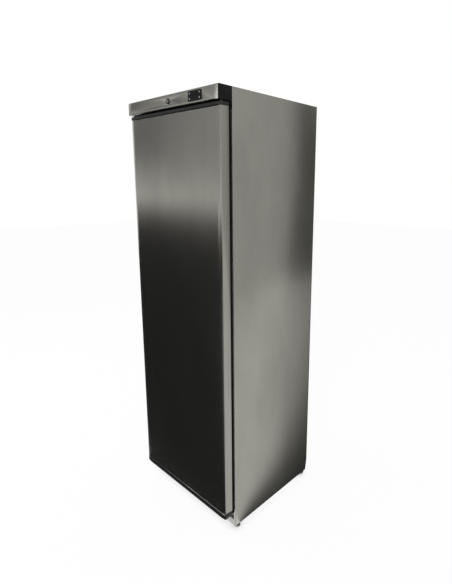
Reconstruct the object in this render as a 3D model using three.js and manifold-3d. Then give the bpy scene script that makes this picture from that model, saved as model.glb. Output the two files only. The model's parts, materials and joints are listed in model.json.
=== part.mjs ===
// Upright storage freezer: a foamed steel cabinet with one tall door, a control fascia above it,
// tube-and-wire evaporator shelves inside and a compressor in an open recess at the rear.
// Millimetres, +Z up, the door faces -Y and is hinged on the +X side.
// While it is built, y = 0 is the front plane of the cabinet and z = 0 is the floor.

import * as THREE from 'three';
import { mergeVertices } from 'three/addons/utils/BufferGeometryUtils.js';
import Module from 'manifold-3d';

const wasm = await Module();
wasm.setup();

// ---------------------------------------------------------------- driving dimensions

// Cabinet
const cabinetWidth = 600;
const cabinetDepth = 523; // side panel, front edge to rear edge
const cabinetHeight = 1835; // side panel, without the feet
const floorClearance = 20; // the feet and rollers hold the cabinet this far up
const steelSheet = 1;
const bendRadius = 2.5; // outside of a bend
const sideFrontReturn = 8;
const sideRearReturn = 12;
const rearCornerCutDepth = 11; // the lower rear corner of each side panel is cut back
const rearCornerCutHeight = 72;
const lidFlange = 14;
const rearRecess = 29; // the back panel stands this far inside the side panels' rear edges

// Insulation and liner
const linerWall = 2;
const foamGap = 0.3; // between the foam and the bent sheet that it stands on
const rearInsulation = 58;
const recessInsulation = 45; // between the machine recess and the liner's step
const linerRearRadius = 16;
const linerFloorRadius = 14;
const linerLip = 12; // the liner's edge folds out over the front frame
const linerLipThickness = 1.5;

// Plinth, bottom panel and machine recess
const plinthHeight = 63.5;
const plinthReturn = 14;
const recessHeight = 222; // above the top of the base rails
const recessDepth = 226; // from the recess's front wall to the side panels' rear edges
const recessSlope = 22; // the wall leans back by this much

// Fascia
const fasciaHeight = 51;
const fasciaProjection = 67; // in front of the cabinet's front plane
const fasciaSheet = 1;
const fasciaRollWidth = 20; // the sheet rolls back next to each end
const fasciaRollDrop = 2.5;
const fasciaLowerReturn = 12;
const endCapThickness = 4;
const endCapWall = 2;
const endCapRib = 8; // the cap's locating rib inside the fascia

// Door
const doorProjection = 57; // front of the door skin
const doorRearGap = 15; // behind the door's flange
const doorSideInset = 2.5; // inside the cabinet's sides
const doorTopGap = 6; // below the fascia
const doorRollWidth = 22;
const doorRollDrop = 3;
const doorHemRadius = 5;
const doorHemReturn = 6;
const flangeCutBack = 10; // the side flanges end short of the upper hem, which clears the trim
const flangeCornerRadius = 7;
const topTrimHeight = 12.5;
const bottomTrimHeight = 18.5;
const trimPlug = 10; // the part of the bottom trim that sits inside the skin
const topTrimPlug = 22;
const fitGap = 0.3; // between a moulding and the sheet around it
const trimProud = 1.5;
const doorLinerSheet = 2;
const doorPlateauHeight = 28; // how far the door liner's middle stands out
const doorPlateauTaper = 10;
const doorPlateauInset = 26; // from the edge of the cabinet's opening
const doorPlateauRadius = 30;

// Gasket
const gasketWidth = 18;
const gasketHeadDepth = 5;
const gasketFootDepth = 3;
const gasketNeck = 9;
const gasketSetback = 1; // from the hinge axis, so that nothing sweeps into the frame
const sealGap = 0.3;
const lipClearance = 2; // between the gasket and the liner's lip

// Hinges
const hingeInset = 17; // pin axis, from the door's hinged edge
const hingePlateThickness = 4;
const hingePlateWidth = 30;
const hingePlateTail = 62; // behind the cabinet's front plane
const topHingeHeight = 34; // of the angle on the front frame
const hingePinRadius = 4.5;
const hingePinLength = 24; // inside the door
const bushWall = 2.2;
const bushFlangeRadius = 10.5;
const bushFlangeThickness = 1.7;
const runningClearance = 0.35;

// Finger grip in the door's free edge
const gripLength = 170;
const gripWidth = 24;
const gripDepth = 20;
const gripWall = 1.6;
const gripRim = 2.5;
const gripRimThickness = 1.2;
const gripHeight = 980; // middle of the grip above the floor

// Lock
const lockRadius = 9;
const lockFlangeRadius = 10.5;
const lockFlangeThickness = 1.6;
const lockBodyLength = 22;
const lockCylinderRadius = 6;
const keySlotWidth = 1.4;
const keySlotLength = 7;
const keySlotDepth = 5;
const camReach = 38.5;
const camHalfWidth = 5;
const camThickness = 2.5;
const lockTailHalf = 1.75;
const strikeDepth = 12;

// Controller
const controllerWidth = 78;
const controllerHeight = 37;
const controllerInset = 130; // middle of the controller, from the cabinet's right side
const controllerBezel = 2.2;
const controllerBodyWidth = 70;
const controllerBodyHeight = 28;
const controllerBodyDepth = 46;
const windowWidth = 44;
const windowHeight = 20;
const windowThickness = 1.2;
const buttonColumn = 29; // from the controller's middle
const buttonRow = 9.5;
const buttonRadius = 2.6;
const buttonLength = 3.2;
const buttonProud = 0.7;

// Evaporator shelves
const shelfCount = 6;
const lowestShelfRise = 24; // above the liner's step
const highestShelfDrop = 238; // below the liner's ceiling
const evaporatorTubeRadius = 4;
const evaporatorPassCount = 8;
const shelfSideClearance = 5;
const shelfFrontInset = 42; // behind the cabinet's front plane
const shelfRearInset = 24; // in front of the liner's rear wall
const shelfSeatGap = 0.3;
const shelfWireCount = 7;
const wireThickness = 2.5;
const ledgeDepth = 11;
const ledgeHeight = 12;
const ledgeFrontInset = 24;
const riserBend = 15;
const riserStub = 40; // each shelf's inlet reaches down to meet the riser from below
const weldGap = 0.25; // a wire lies this far above the passes between its welds
const weldSink = 0.5;
const weldHalf = 1.2;

// Condenser
const condenserTubeRadius = 2.6;
const condenserPassCount = 11;
const condenserWidth = 480;
const condenserTopDrop = 170; // below the top of the cabinet
const condenserBottomRise = 70; // above the machine recess
const condenserTailDrop = 42; // its pipes end this far down in the machine recess
const condenserRiserGap = 12; // from the winding to the pipe that feeds it
const condenserWireCount = 11;
const condenserWireThickness = 2;
const condenserWireOverhang = 8;
const condenserStandOff = 12; // tube axis behind the back panel
const condenserStripWidth = 16;
const condenserStripSheet = 1.5;
const condenserStripOverhang = 10; // beyond the first and last pass

// Base rails, feet and rollers
const railWidth = 38;
const railHeight = 30;
const railSheet = 1.5;
const railPlinthGap = 1;
const railRearInset = 14;
const footInset = 14; // stem axis, from the cabinet's side
const footSetback = 28;
const footPadRadius = 12;
const footPadHeight = 6;
const footNeckRadius = 6.5;
const footStemRadius = 5;
const footNutRadius = 9.5;
const footNutHeight = 7.5;
const footStemLength = 46; // top of the stem above the floor
const rollerRadius = 16;
const rollerWidth = 17;
const rollerAxleRadius = 3.5;
const rollerSetback = 36; // axle, from the side panels' rear edges
const rollerEarWidth = 24;
const rollerEarDrop = 11; // below the rail
const rollerEarRadius = 5;
const rollerCollarRadius = 6;

// Compressor and its circuit
const trayThickness = 1.5;
const trayFlange = 22;
const trayFrontGap = 6; // behind the foot of the recess's front wall
const trayRearGap = 16;
const compressorLength = 196;
const compressorWidth = 150;
const compressorHeight = 148; // shell, above its feet
const compressorSetback = 112; // middle, from the side panels' rear edges
const compressorOffset = 70; // middle, right of the cabinet's middle
const compressorFootLength = 216;
const compressorFootWidth = 132;
const compressorFootThickness = 3;
const mountHeight = 17;
const mountRadius = 12;
const mountWaist = 8.5;
const mountBoltRadius = 4;
const relayCoverWidth = 62;
const relayCoverHeight = 60;
const relayCoverDepth = 26;
const relayCoverWall = 2;
const terminalReach = 6; // outside the compressor's shell
const terminalRoot = 18; // inside it
const drierRadius = 9;
const drierLength = 92;
const drierLeft = 190; // left of the cabinet's middle
const drierSetback = 54;
const drierRise = 60; // above the tray
const serviceTubeRadius = 3;
const suctionTubeRadius = 4;
const capillaryRadius = 1.6;
const lineHoleClearance = 1.6;
const lineBend = 14;
const portLength = 12;
const portRoot = 22; // inside the compressor's shell
const portSpacing = 24;
const portStep = 10; // the suction port is this much higher than the discharge port
const glandRadius = 8;
const glandSleeveRadius = 6;
const glandSleeveReach = 4; // inside the tray's flange
const glandBoreRadius = 4.5;
const glandLength = 14;
const glandLeft = 120; // left of the cabinet's middle

// Temperature probe
const probeRadius = 3;
const probeLength = 42;
const probeDrop = 90; // below the liner's ceiling
const probeSetback = 250;
const probeClipWidth = 14;
const probeClipWall = 2.5;
const probeStandOff = 7; // probe axis, from the liner's side wall

// ---------------------------------------------------------------- derived places

const half = cabinetWidth / 2;
const sideInner = half - steelSheet;
const cabinetBottom = floorClearance;
const cabinetTop = floorClearance + cabinetHeight;
const lidUnderside = cabinetTop - steelSheet;
const backPlane = cabinetDepth - rearRecess;
const foamRear = backPlane - steelSheet;
const foamFront = bendRadius; // clears the inside of the side panels' front bends
const fasciaBottom = cabinetTop - fasciaHeight;
const fasciaFront = -fasciaProjection;
const fasciaMiddle = cabinetTop - fasciaHeight / 2;
const controllerCentre = half - controllerInset;

const plinthTop = cabinetBottom + plinthHeight;
const frameBottom = plinthTop + hingePlateThickness;
const doorBottom = frameBottom + bushFlangeThickness + runningClearance;
const doorTop = fasciaBottom - doorTopGap;
const doorHalf = half - doorSideInset;
const doorFront = -doorProjection;
const doorRear = -doorRearGap;
const skinBottom = doorBottom + bottomTrimHeight;
const skinTop = doorTop - topTrimHeight;
const flangeTop = skinTop - flangeCutBack;

const sealLand = hingeInset + gasketSetback + gasketWidth + lipClearance + linerLip; // door edge to opening
const linerHalf = doorHalf - sealLand;
const linerCeiling = doorTop - sealLand;
const linerFloor = doorBottom + sealLand;
const linerRear = foamRear - rearInsulation;
const railTop = cabinetBottom + railHeight;
const recessCeiling = railTop + recessHeight;
const recessFoot = cabinetDepth - recessDepth;
const stepTop = recessCeiling + recessInsulation;
const stepFoot = recessFoot - recessInsulation;

const hingeX = doorHalf - hingeInset;
const hingeY = (doorFront + doorRear) / 2;
const shelfHalf = linerHalf - shelfSideClearance - evaporatorTubeRadius; // outermost passes
const shelfFront = shelfFrontInset;
const shelfRear = linerRear - shelfRearInset;
const capillaryY = foamRear - capillaryRadius - lineHoleClearance;
const condenserY = backPlane + condenserStandOff;
const condenserBottom = recessCeiling + condenserBottomRise;
const condenserTop = cabinetTop - condenserTopDrop;
const condenserEndLevel = recessCeiling - condenserTailDrop;
const condenserRiserX = condenserWidth / 2 + condenserRiserGap;
const trayTop = railTop + trayThickness;
const compressorY = cabinetDepth - compressorSetback;
const compressorFootLevel = trayTop + mountHeight + fitGap;
const shellBase = compressorFootLevel + compressorFootThickness;
const shelfPitch = (linerCeiling - highestShelfDrop - stepTop - lowestShelfRise) / (shelfCount - 1);

// ---------------------------------------------------------------- materials

const finish = (color, roughness, metalness = 0) =>
  new THREE.MeshStandardMaterial({ color, roughness, metalness });

const stainless = finish(0x8c8b84, 0.34, 1);
const galvanised = finish(0x9a9c9b, 0.5, 1);
const zincPlated = finish(0xa8a9a4, 0.4, 1);
const whiteLiner = finish(0xe9ebe8, 0.45);
const foam = finish(0xd9c98f, 0.95);
const blackPlastic = finish(0x17181a, 0.5);
const darkGreyPlastic = finish(0x34363a, 0.55);
const blackSteel = finish(0x141516, 0.6, 0.4);
const gasketRubber = finish(0x222426, 0.75);
const mountRubber = finish(0x1a1a1b, 0.85);
const nylon = finish(0xd8d8d2, 0.5);
const whitePaintedTube = finish(0xdfe3e2, 0.4);
const copper = finish(0xb4714a, 0.35, 1);
const brightSteel = finish(0xc2c3c2, 0.25, 1);
const displayWindow = finish(0x0b0d10, 0.15);
const buttonGrey = finish(0x6f7377, 0.5);

// ---------------------------------------------------------------- solids

const X = new THREE.Vector3(1, 0, 0);
const Y = new THREE.Vector3(0, 1, 0);
const Z = new THREE.Vector3(0, 0, 1);

/** A closed solid from a three.js geometry; a solid comes back as it is. */
function solid(shape) {
  if (!(shape instanceof THREE.BufferGeometry)) return shape;
  const plain = shape.clone();
  plain.deleteAttribute('normal');
  plain.deleteAttribute('uv');
  const merged = mergeVertices(plain, 1e-4);
  return new wasm.Manifold(
    new wasm.Mesh({
      numProp: 3,
      vertProperties: new Float32Array(merged.attributes.position.array),
      triVerts: new Uint32Array(merged.index.array),
    }),
  );
}

const join = (first, ...others) => others.reduce((sum, next) => sum.add(solid(next)), solid(first));
const cut = (body, ...tools) => tools.reduce((rest, tool) => rest.subtract(solid(tool)), solid(body));
const common = (first, second) => solid(first).intersect(solid(second));

/** The three.js geometry of a solid. */
function geometryOf(shape) {
  if (shape instanceof THREE.BufferGeometry) return shape;
  const { vertProperties, triVerts } = shape.getMesh();
  const geometry = new THREE.BufferGeometry();
  geometry.setAttribute('position', new THREE.BufferAttribute(vertProperties, 3));
  geometry.setIndex(new THREE.BufferAttribute(triVerts, 1));
  const faceted = geometry.toNonIndexed();
  faceted.computeVertexNormals();
  return faceted;
}

const box = ([x0, x1], [y0, y1], [z0, z1]) =>
  new THREE.BoxGeometry(x1 - x0, y1 - y0, z1 - z0).translate((x0 + x1) / 2, (y0 + y1) / 2, (z0 + z1) / 2);

/** A box that is centred on x = 0. */
const wideBox = (halfWidth, ys, zs) => box([-halfWidth, halfWidth], ys, zs);

const extrude = (shape, length) => new THREE.ExtrudeGeometry(shape, { depth: length, bevelEnabled: false });

/** A plan outline (x, y) raised from z0 to z1. */
const raised = (plan, [z0, z1]) => extrude(plan, z1 - z0).translate(0, 0, z0);

/** A side outline (y, z) drawn out from x0 to x1. */
const drawnAcross = (side, [x0, x1]) =>
  extrude(side, x1 - x0).applyMatrix4(new THREE.Matrix4().makeBasis(Y, Z, X)).translate(x0, 0, 0);

/** A front outline (x, z) drawn out from y0 to y1. */
const drawnBack = (front, [y0, y1]) =>
  extrude(front, y1 - y0)
    .applyMatrix4(new THREE.Matrix4().makeBasis(X, Z, Y.clone().negate()))
    .translate(0, y1, 0);

/** A round bar or disc along an axis, from one end to the other, with its middle line at (u, v). */
function bar(axis, radius, [from, to], u, v, sides = 16) {
  const cylinder = new THREE.CylinderGeometry(radius, radius, to - from, sides);
  const middle = (from + to) / 2;
  if (axis === 'x') return cylinder.rotateZ(Math.PI / 2).translate(middle, u, v);
  if (axis === 'y') return cylinder.translate(u, middle, v);
  return cylinder.rotateX(Math.PI / 2).translate(u, v, middle);
}

/** A turned piece about a vertical axis at (x, y), from [radius, z] points. */
const turned = (profile, x, y, sides = 14) =>
  new THREE.LatheGeometry(profile.map(([r, z]) => new THREE.Vector2(r, z)), sides)
    .rotateX(Math.PI / 2)
    .translate(x, y, 0);

const across = (a, b) => a.x * b.y - a.y * b.x;

/** A closed outline from corners [u, v, radius]; a corner without a radius stays sharp. */
function outline(corners, degreesPerStep = 30) {
  const points = [];
  corners.forEach(([u, v, radius = 0], i) => {
    const corner = new THREE.Vector2(u, v);
    if (radius <= 0) {
      points.push(corner);
      return;
    }
    const previous = new THREE.Vector2(...corners.at(i - 1)).sub(corner).normalize();
    const next = new THREE.Vector2(...corners[(i + 1) % corners.length]).sub(corner).normalize();
    const halfAngle = Math.acos(THREE.MathUtils.clamp(previous.dot(next), -1, 1)) / 2;
    const turn = (Math.PI - 2 * halfAngle) * -Math.sign(across(previous, next));
    const bisector = previous.clone().add(next).normalize();
    const centre = bisector.multiplyScalar(radius / Math.sin(halfAngle)).add(corner);
    const start = previous.multiplyScalar(radius / Math.tan(halfAngle)).add(corner).sub(centre);
    const steps = Math.max(1, Math.ceil(THREE.MathUtils.radToDeg(Math.abs(turn)) / degreesPerStep));
    for (let k = 0; k <= steps; k += 1) {
      points.push(start.clone().rotateAround(new THREE.Vector2(), (turn * k) / steps).add(centre));
    }
  });
  return new THREE.Shape(points);
}

/** A rectangle with round corners. */
const roundedRectangle = ([u0, u1], [v0, v1], radius, degreesPerStep = 30) =>
  outline([[u0, v0, radius], [u1, v0, radius], [u1, v1, radius], [u0, v1, radius]], degreesPerStep);

/** The section of a bent sheet. Its outside corners run with the sheet on their left. */
function bentSheet(corners, thickness = steelSheet, radius = bendRadius) {
  const outer = corners.map(([u, v]) => new THREE.Vector2(u, v));
  const last = outer.length - 1;
  const direction = (i) => outer[i + 1].clone().sub(outer[i]).normalize();
  const bends = outer.map((point, i) => {
    const into = direction(Math.max(i - 1, 0));
    const out = direction(Math.min(i, last - 1));
    const leftward = new THREE.Vector2(-into.y - out.y, into.x + out.x);
    const inner = leftward.multiplyScalar(thickness / (1 + into.dot(out))).add(point);
    return { point, inner, turn: i === 0 || i === last ? 0 : Math.sign(across(into, out)) };
  });
  const tight = radius - thickness; // on the inside of a bend
  const outside = bends.map(({ point, turn }) => [point.x, point.y, turn > 0 ? radius : -turn * tight]);
  const inside = bends.map(({ inner, turn }) => [inner.x, inner.y, turn < 0 ? radius : turn * tight]);
  return outline([...outside, ...inside.reverse()], 45);
}

const pipeBendStep = Math.PI / 4;

/** A pipe's route: straight runs joined by round bends, with stations only where it bends. */
class PipeRoute extends THREE.Curve {
  constructor(corners, usualBend) {
    super();
    const points = corners.map(([x, y, z]) => new THREE.Vector3(x, y, z));
    this.stations = [{ at: points[0], way: points[1].clone().sub(points[0]).normalize() }];
    for (let i = 1; i < points.length - 1; i += 1) {
      const [, , , bend = usualBend] = corners[i];
      this.addBend(points[i - 1], points[i], points[i + 1], bend);
    }
    this.stations.push({ at: points.at(-1), way: points.at(-1).clone().sub(points.at(-2)).normalize() });
  }

  addBend(previous, corner, next, bend) {
    const into = corner.clone().sub(previous).normalize();
    const out = next.clone().sub(corner).normalize();
    const angle = into.angleTo(out);
    const axis = into.clone().cross(out).normalize();
    const start = into.clone().multiplyScalar(-bend * Math.tan(angle / 2)).add(corner);
    const centre = axis.clone().cross(into).multiplyScalar(bend).add(start);
    const steps = Math.max(1, Math.round(angle / pipeBendStep));
    for (let k = 0; k <= steps; k += 1) {
      const turn = (angle * k) / steps;
      const at = start.clone().sub(centre).applyAxisAngle(axis, turn).add(centre);
      const way = into.clone().applyAxisAngle(axis, turn);
      if (this.stations.at(-1).at.distanceTo(at) > 0.01) this.stations.push({ at, way });
    }
  }

  station(t) {
    return this.stations[Math.round(t * (this.stations.length - 1))];
  }

  getPointAt(t) {
    return this.station(t).at.clone();
  }

  getTangentAt(t) {
    return this.station(t).way.clone();
  }
}

/** A pipe along corners [x, y, z, bend]. Winding from an upright start, its crest is a flat for wires. */
function pipe(corners, radius, usualBend, sides = 6) {
  const route = new PipeRoute(corners, usualBend);
  const corner = radius / Math.cos(Math.PI / sides); // the flats touch the radius
  const ring = [...Array(sides).keys()].map((k) => {
    const angle = ((k + 0.5) / sides) * 2 * Math.PI;
    return new THREE.Vector2(corner * Math.cos(angle), corner * Math.sin(angle));
  });
  return new THREE.ExtrudeGeometry(new THREE.Shape(ring), {
    steps: route.stations.length - 1,
    extrudePath: route,
  });
}

const evenly = (count, from, to) =>
  [...Array(count).keys()].map((k) => from + ((to - from) * k) / (count - 1));

// ---------------------------------------------------------------- the model

const freezer = new THREE.Group();
const keysFront = fasciaFront - controllerBezel - buttonProud; // the keys stand out most
freezer.position.y = -(cabinetDepth + keysFront) / 2;

function place(name, shape, material) {
  const mesh = new THREE.Mesh(geometryOf(shape), material);
  mesh.name = name;
  freezer.add(mesh);
}

// ---------------------------------------------------------------- cabinet

/** A side panel: one sheet with a narrow front return, a rear return and a cut-back rear corner. */
function sidePanel(side) {
  const section = bentSheet([
    [half - sideFrontReturn, 0],
    [half, 0],
    [half, cabinetDepth],
    [half - sideRearReturn, cabinetDepth],
  ]);
  const cornerCut = new THREE.Shape([
    new THREE.Vector2(cabinetDepth - rearCornerCutDepth, cabinetBottom - 1),
    new THREE.Vector2(cabinetDepth + 1, cabinetBottom - 1),
    new THREE.Vector2(cabinetDepth + 1, cabinetBottom + rearCornerCutHeight),
  ]);
  const panel = cut(
    raised(section, [cabinetBottom, cabinetTop]),
    drawnAcross(cornerCut, [half - sideRearReturn - 1, half + 1]),
  );
  return side > 0 ? panel : panel.mirror([1, 0, 0]);
}

/** The lid: a flat sheet with its edges folded down inside the side panels. */
function topPanel() {
  const lid = wideBox(sideInner, [foamFront, foamRear], [cabinetTop - lidFlange, cabinetTop]);
  const hollow = wideBox(
    sideInner - steelSheet,
    [foamFront + steelSheet, foamRear - steelSheet],
    [cabinetTop - lidFlange - 1, lidUnderside],
  );
  return cut(lid, hollow);
}

/** The back panel closes the foam from the recess's ceiling up to the lid. */
const backPanel = () => wideBox(sideInner, [foamRear, backPlane], [recessCeiling, cabinetTop]);

/** The bottom panel: under the compartment, up the leaning wall of the recess and along its ceiling. */
function bottomPanel() {
  const section = bentSheet([
    [foamFront, frameBottom],
    [recessFoot, frameBottom],
    [recessFoot + recessSlope, recessCeiling],
    [foamRear, recessCeiling],
  ]);
  const hole = lineHoleClearance + suctionTubeRadius;
  const ceiling = [recessCeiling - 1, recessCeiling + steelSheet + 1];
  return cut(
    drawnAcross(section, [-sideInner, sideInner]),
    bar('z', hole, ceiling, -shelfHalf, shelfRear, 8),
    bar('z', capillaryRadius + lineHoleClearance, ceiling, -shelfHalf, capillaryY, 8),
  );
}

/** Where the foam stands on the bottom panel, as a side outline up to the lid. */
function insulationSection() {
  const up = steelSheet + foamGap;
  const lean = Math.atan2(recessSlope, recessCeiling - frameBottom);
  const shift = up / Math.cos(lean) - up * Math.tan(lean);
  return outline([
    [foamFront, frameBottom + up],
    [recessFoot - shift, frameBottom + up, bendRadius],
    [recessFoot + recessSlope - shift, recessCeiling + up],
    [foamRear, recessCeiling + up],
    [foamRear, lidUnderside],
    [foamFront, lidUnderside],
  ]);
}

/** The compartment's space, grown by a wall: a stepped side outline with round rear corners. */
function compartment(grow, front) {
  const side = outline([
    [front, linerFloor - grow],
    [stepFoot + grow, linerFloor - grow, linerFloorRadius],
    [stepFoot + recessSlope + grow, stepTop - grow, linerFloorRadius],
    [linerRear + grow, stepTop - grow, linerFloorRadius],
    [linerRear + grow, linerCeiling + grow, linerFloorRadius],
    [front, linerCeiling + grow],
  ]);
  const reach = linerHalf + grow;
  const plan = outline([
    [-reach, front],
    [reach, front],
    [reach, linerRear + grow, linerRearRadius],
    [-reach, linerRear + grow, linerRearRadius],
  ]);
  return common(
    drawnAcross(side, [-reach - 1, reach + 1]),
    raised(plan, [linerFloor - grow - 1, linerCeiling + grow + 1]),
  );
}

const shelfLevel = (k) => stepTop + lowestShelfRise + shelfPitch * k; // axis of the shelf's tube

/** A moulded ledge with a round nose, which carries one side of a shelf. */
function ledge(side, level) {
  const top = level - evaporatorTubeRadius - shelfSeatGap;
  const wall = side * (linerHalf + linerWall / 2);
  const nose = side * (linerHalf - ledgeDepth);
  const front = outline([
    [wall, top],
    [wall, top - ledgeHeight - ledgeDepth / 2],
    [nose, top - ledgeHeight, 3],
    [nose, top, 3],
  ], 90);
  return drawnBack(front, [ledgeFrontInset, shelfRear - 2 * riserBend]);
}

/** The liner: one moulded shell with six pairs of ledges and a lip folded out over the front frame. */
function innerLiner() {
  const shell = cut(compartment(linerWall, steelSheet), compartment(0, -1));
  const lip = cut(
    drawnBack(
      roundedRectangle(
        [-linerHalf - linerLip, linerHalf + linerLip],
        [linerFloor - linerLip, linerCeiling + linerLip],
        4,
        45,
      ),
      [-linerLipThickness, 0],
    ),
    wideBox(linerHalf, [-linerLipThickness - 1, 1], [linerFloor, linerCeiling]),
  );
  const throat = cut(
    wideBox(
      linerHalf + linerWall,
      [-linerLipThickness / 2, steelSheet],
      [linerFloor - linerWall, linerCeiling + linerWall],
    ),
    wideBox(linerHalf, [-1, steelSheet + 1], [linerFloor, linerCeiling]),
  );
  const ledges = [];
  for (let k = 0; k < shelfCount; k += 1) {
    ledges.push(ledge(1, shelfLevel(k)), ledge(-1, shelfLevel(k)));
  }
  return cut(join(shell, lip, throat, ...ledges), ...lineHoles(0));
}

/** The suction line leaves through the step's floor, the capillary comes in through the rear wall. */
function lineHoles(grow) {
  const clearance = lineHoleClearance + grow;
  const down = [recessCeiling - 1, shelfLevel(0)];
  const back = [shelfRear, foamRear + 1];
  return [
    bar('z', suctionTubeRadius + clearance, down, -shelfHalf, shelfRear, 8),
    bar('y', capillaryRadius + clearance, back, -shelfHalf, shelfLevel(shelfCount - 1), 8),
  ];
}

/** The capillary runs up in a channel in the foam, against the back panel. */
const capillaryChannel = () =>
  box(
    [-shelfHalf - capillaryRadius - lineHoleClearance, capillaryRadius + lineHoleClearance - shelfHalf],
    [capillaryY - capillaryRadius - lineHoleClearance, foamRear + 1],
    [recessCeiling - 1, shelfLevel(shelfCount - 1) + capillaryRadius + lineHoleClearance],
  );

function foamBody() {
  return cut(
    drawnAcross(insulationSection(), [-sideInner, sideInner]),
    topPanel(),
    compartment(linerWall + foamGap, 0),
    ...lineHoles(lineHoleClearance),
    capillaryChannel(),
  );
}

/** The steel frame around the opening, which the gasket closes on. It runs up behind the fascia. */
function frontFrame() {
  return cut(
    wideBox(half - sideFrontReturn, [0, steelSheet], [frameBottom, cabinetTop - lidFlange]),
    wideBox(linerHalf + linerWall, [-1, steelSheet + 1], [linerFloor - linerWall, linerCeiling + linerWall]),
  );
}

function plinth() {
  const section = bentSheet([
    [plinthReturn, cabinetBottom],
    [0, cabinetBottom],
    [0, plinthTop],
    [plinthReturn, plinthTop],
  ].reverse());
  return drawnAcross(section, [sideFrontReturn - half, half - sideFrontReturn]);
}

// ---------------------------------------------------------------- fascia

/** A plan (x, y) whose front rolls back next to each end. */
function rolledPlan(halfWidth, [front, rear], [rollWidth, rollDrop], endRadius) {
  return outline([
    [-halfWidth, rear],
    [-halfWidth, front + rollDrop, endRadius],
    [rollWidth - halfWidth, front, 3 * rollWidth],
    [halfWidth - rollWidth, front, 3 * rollWidth],
    [halfWidth, front + rollDrop, endRadius],
    [halfWidth, rear],
  ], 8);
}

/** A sheet pan that is open at the back, with a rolled front. Its ends are folded or left open. */
function rolledPan({ halfWidth, front, back, rollWidth, rollDrop, side, sideInside, sheet, ends }) {
  const endRadius = ends ? bendRadius : 0;
  const plan = (inset, rear) =>
    rolledPlan(
      halfWidth - inset,
      [front + inset, rear],
      [rollWidth - inset, rollDrop],
      Math.max(endRadius - inset, 0),
    );
  const reach = halfWidth + sheet;
  const insidePlan = plan(sheet, back + 1);
  const hollow = common(drawnAcross(sideInside, [-reach, reach]), raised(insidePlan, [0, 2 * cabinetHeight]));
  const skin = common(drawnAcross(side, [-reach, reach]), raised(plan(0, back), [0, 2 * cabinetHeight]));
  return ends ? cut(skin, hollow) : cut(skin, hollow, ...openEnds(halfWidth, front, back, sheet));
}

/** The fascia's ends are open, because plastic caps close them. */
const openEnds = (halfWidth, front, back, sheet) =>
  [-1, 1].map((side) =>
    box(
      side > 0 ? [halfWidth - 2 * sheet, halfWidth + sheet] : [-halfWidth - sheet, 2 * sheet - halfWidth],
      [front + fasciaRollDrop + sheet, back + 1],
      [fasciaBottom + sheet, cabinetTop - sheet],
    ),
  );

const fasciaHalf = half - endCapThickness;

function fasciaPanel() {
  const side = outline([
    [0, cabinetTop],
    [fasciaFront, cabinetTop, bendRadius],
    [fasciaFront, fasciaBottom, bendRadius],
    [fasciaFront + fasciaLowerReturn, fasciaBottom],
    [fasciaFront + fasciaLowerReturn, cabinetTop - 2 * fasciaSheet],
    [0, cabinetTop - 2 * fasciaSheet],
  ]);
  const inside = outline([
    [1, cabinetTop - fasciaSheet],
    [fasciaFront + fasciaSheet, cabinetTop - fasciaSheet, bendRadius - fasciaSheet],
    [fasciaFront + fasciaSheet, fasciaBottom + fasciaSheet, bendRadius - fasciaSheet],
    [1, fasciaBottom + fasciaSheet],
  ]);
  const pan = rolledPan({
    halfWidth: fasciaHalf,
    front: fasciaFront,
    back: 0,
    rollWidth: fasciaRollWidth,
    rollDrop: fasciaRollDrop,
    side,
    sideInside: inside,
    sheet: fasciaSheet,
    ends: false,
  });
  const through = [fasciaFront - 1, fasciaFront + fasciaSheet + 1];
  return cut(
    pan,
    box(
      [controllerCentre - controllerBodyWidth / 2, controllerCentre + controllerBodyWidth / 2],
      through,
      [fasciaMiddle - controllerBodyHeight / 2, fasciaMiddle + controllerBodyHeight / 2],
    ),
    bar('y', lockRadius, through, 0, fasciaMiddle),
  );
}

/** A moulded cap with a locating rib that slides into the fascia's open end. */
function endCap(side) {
  const face = (inset) =>
    outline([
      [-inset / 2, cabinetTop - inset],
      [fasciaFront + fasciaRollDrop + inset, cabinetTop - inset, bendRadius],
      [fasciaFront + fasciaRollDrop + inset, fasciaBottom + inset, bendRadius],
      [-inset / 2, fasciaBottom + inset],
    ]);
  const seat = fasciaHalf;
  const clear = fasciaSheet + fitGap;
  const rib = cut(
    drawnAcross(face(clear), [seat - endCapRib, seat + endCapWall]),
    drawnAcross(face(clear + endCapWall), [seat - endCapRib - 1, seat]),
  );
  const cap = join(drawnAcross(face(0), [seat, half]), rib);
  return side > 0 ? cap : cap.mirror([1, 0, 0]);
}

/** The controller: a bezel in front of the fascia and a housing behind it, with seats for its keys. */
function controllerHousing() {
  const bezelFront = fasciaFront - controllerBezel;
  const about = (size, centre) => [centre - size / 2, centre + size / 2];
  const bezel = drawnBack(
    roundedRectangle(about(controllerWidth, controllerCentre), about(controllerHeight, fasciaMiddle), 3, 45),
    [bezelFront, fasciaFront],
  );
  const body = box(
    about(controllerBodyWidth - 2 * fitGap, controllerCentre),
    [fasciaFront - 0.5, fasciaFront + controllerBodyDepth],
    about(controllerBodyHeight - 2 * fitGap, fasciaMiddle),
  );
  const windowSeat = box(
    about(windowWidth, controllerCentre),
    [bezelFront - 1, bezelFront + windowThickness],
    about(windowHeight, fasciaMiddle),
  );
  const keySeats = buttonPlaces().map(([x, z]) =>
    bar('y', buttonRadius + runningClearance, [bezelFront - 1, bezelFront + buttonLength], x, z, 12),
  );
  return cut(join(bezel, body), windowSeat, ...keySeats);
}

const buttonPlaces = () =>
  [-1, 1].flatMap((column) =>
    [-1, 1].map((row) => [controllerCentre + column * buttonColumn, fasciaMiddle + row * buttonRow]),
  );

function controllerWindow() {
  const front = fasciaFront - controllerBezel;
  return box(
    [controllerCentre - windowWidth / 2, controllerCentre + windowWidth / 2],
    [front, front + windowThickness],
    [fasciaMiddle - windowHeight / 2, fasciaMiddle + windowHeight / 2],
  );
}

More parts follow.
